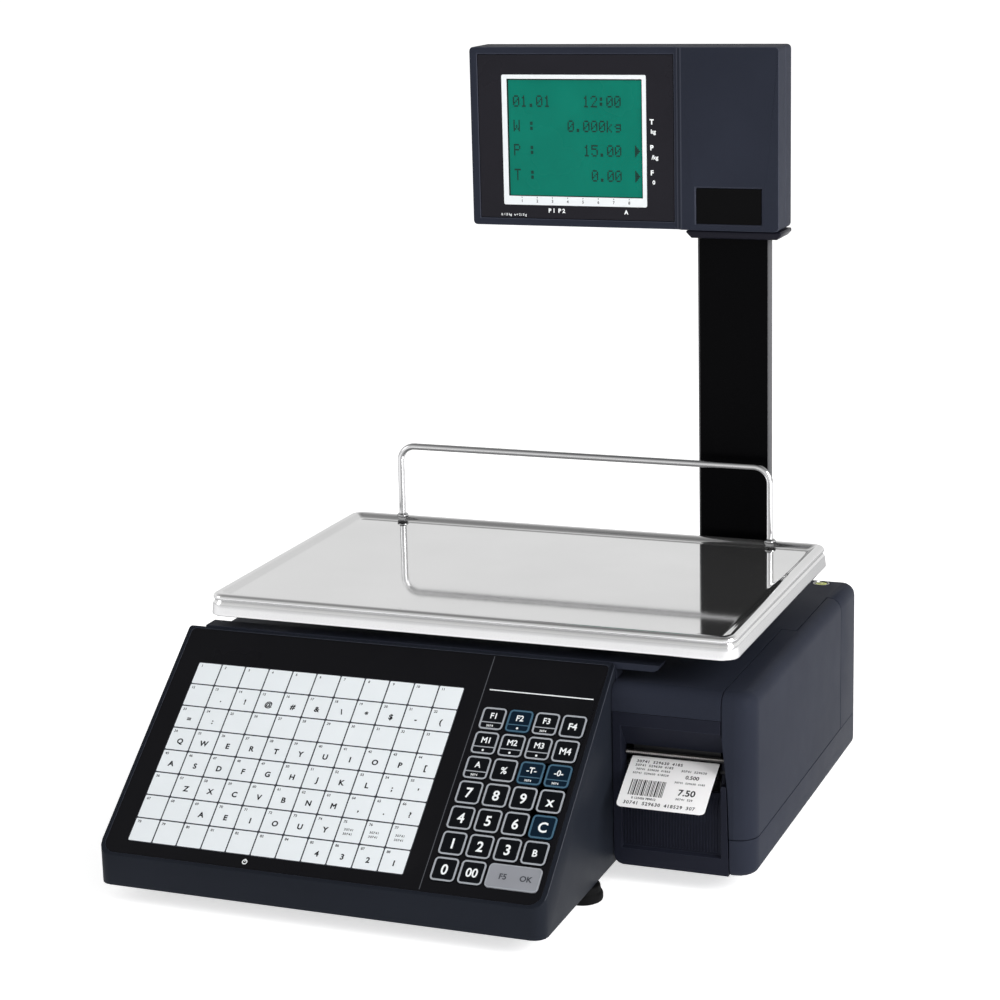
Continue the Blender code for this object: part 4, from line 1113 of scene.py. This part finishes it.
def make_electrics():
    """The main board with its chips, and the power inlet and switch."""
    give("main_board", board_look)
    low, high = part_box("main_board")
    chips = Marks(Face((low.x, low.y, high.z), X_AXIS, Y_AXIS), 0.0, CHIP_THICK)
    for x, y, wide, deep in BOARD_CHIPS:
        chips.plate(rounded(x, x + wide, y, y + deep, 0.6, 2))
    chips.make("board_chips", [chip_look], "scale", "board")
    refined("power_inlet", socket_look, FINE_EDGE)
    refined("power_switch", socket_look, FINE_EDGE)
    low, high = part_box("power_inlet")
    middle = (high.x - low.x) / MM / 2
    pins = Marks(Face((high.x, high.y, low.z), -X_AXIS, Z_AXIS), PIN_ROOT, PIN_LENGTH)
    half_wide, half_tall = PIN_HALF
    for across, up in INLET_PINS:
        x = middle + across
        pins.bar(x - half_wide, x + half_wide, up - half_tall, up + half_tall)
    pins.make("inlet_pins", [brass_look], "scale", "socket")


# ---------------------------------------------------------------- stage

def make_floor():
    """A wide pale table, lit a little from below so that it stays pale far off."""
    half = FLOOR_HALF
    mesh = bpy.data.meshes.new("studio_floor")
    corners = [(-half, -half, 0), (half, -half, 0), (half, half, 0), (-half, half, 0)]
    mesh.from_pydata(corners, [], [(0, 1, 2, 3)])
    finish, tree, shader = start_material("floor_paint", 0.9, gloss=0.1)
    colour_between(tree, shader, noise(tree, 3.0), (0.9, 0.9, 0.9), (0.92, 0.92, 0.92))
    shader.inputs["Emission Color"].default_value = (1.0, 1.0, 1.0, 1.0)
    shader.inputs["Emission Strength"].default_value = FLOOR_GLOW
    mesh.materials.append(finish)
    floor = bpy.data.objects.new("studio_floor", mesh)
    bpy.context.scene.collection.objects.link(floor)


def make_light(name, place, target, size, power):
    """A soft rectangular light that points at a place."""
    lamp = bpy.data.lights.new(name, "AREA")
    lamp.shape = "RECTANGLE"
    lamp.size, lamp.size_y = size
    lamp.energy = power
    holder = bpy.data.objects.new(name, lamp)
    holder.location = place
    holder.rotation_mode = "QUATERNION"
    holder.rotation_quaternion = (Vector(target) - Vector(place)).to_track_quat("-Z", "Y")
    bpy.context.scene.collection.objects.link(holder)


def make_studio():
    """A pale studio: brightest near the horizon, darker overhead, with a soft light on each side."""
    world = bpy.data.worlds.new("studio")
    world.use_nodes = True
    tree = world.node_tree
    sky = tree.nodes["Background"]
    place = tree.nodes.new("ShaderNodeTexCoord")
    height = tree.nodes.new("ShaderNodeSeparateXYZ")
    ramp = tree.nodes.new("ShaderNodeValToRGB")
    ramp.color_ramp.elements[0].position = 0.0
    ramp.color_ramp.elements[0].color = (*[SKY_LOW] * 3, 1.0)
    ramp.color_ramp.elements[1].position = 1.0
    ramp.color_ramp.elements[1].color = (*[SKY_HIGH] * 3, 1.0)
    middle = ramp.color_ramp.elements.new(SKY_MIDDLE_AT)
    middle.color = (*[SKY_MIDDLE] * 3, 1.0)
    tree.links.new(place.outputs["Generated"], height.inputs["Vector"])
    tree.links.new(height.outputs["Z"], ramp.inputs["Fac"])
    tree.links.new(ramp.outputs["Color"], sky.inputs["Color"])
    bpy.context.scene.world = world
    bpy.context.scene.view_settings.view_transform = "Standard"
    for light in LIGHTS:
        make_light(*light)


def make_camera():
    """The camera, at the photograph's place and angle."""
    yaw, pitch, roll = (math.radians(angle) for angle in (CAMERA_YAW, CAMERA_PITCH, CAMERA_ROLL))
    level = math.cos(pitch)
    forward = Vector((-math.sin(yaw) * level, math.cos(yaw) * level, -math.sin(pitch)))
    right = Vector((math.cos(yaw), math.sin(yaw), 0.0))
    up = right.cross(forward)
    turned_right = right * math.cos(roll) + up * math.sin(roll)
    turned_up = up * math.cos(roll) - right * math.sin(roll)
    lens = bpy.data.cameras.new("camera")
    lens.lens = CAMERA_LENS
    lens.sensor_width = CAMERA_SENSOR
    lens.clip_end = 200.0
    camera = bpy.data.objects.new("camera", lens)
    camera.matrix_world = Matrix.Translation(CAMERA_PLACE) @ Matrix(
        (turned_right, turned_up, -forward)).transposed().to_4x4()
    bpy.context.scene.collection.objects.link(camera)
    bpy.context.scene.camera = camera


slope = face_of("keypad_overlay")
make_camera()
make_floor()
make_studio()
make_case()
make_overlay()
make_speed_keys()
for key in KEYS:
    make_function_key(key)
make_spirit_level()
make_feet()
make_weighing()
make_printer()
make_pole()
make_head()
make_electrics()
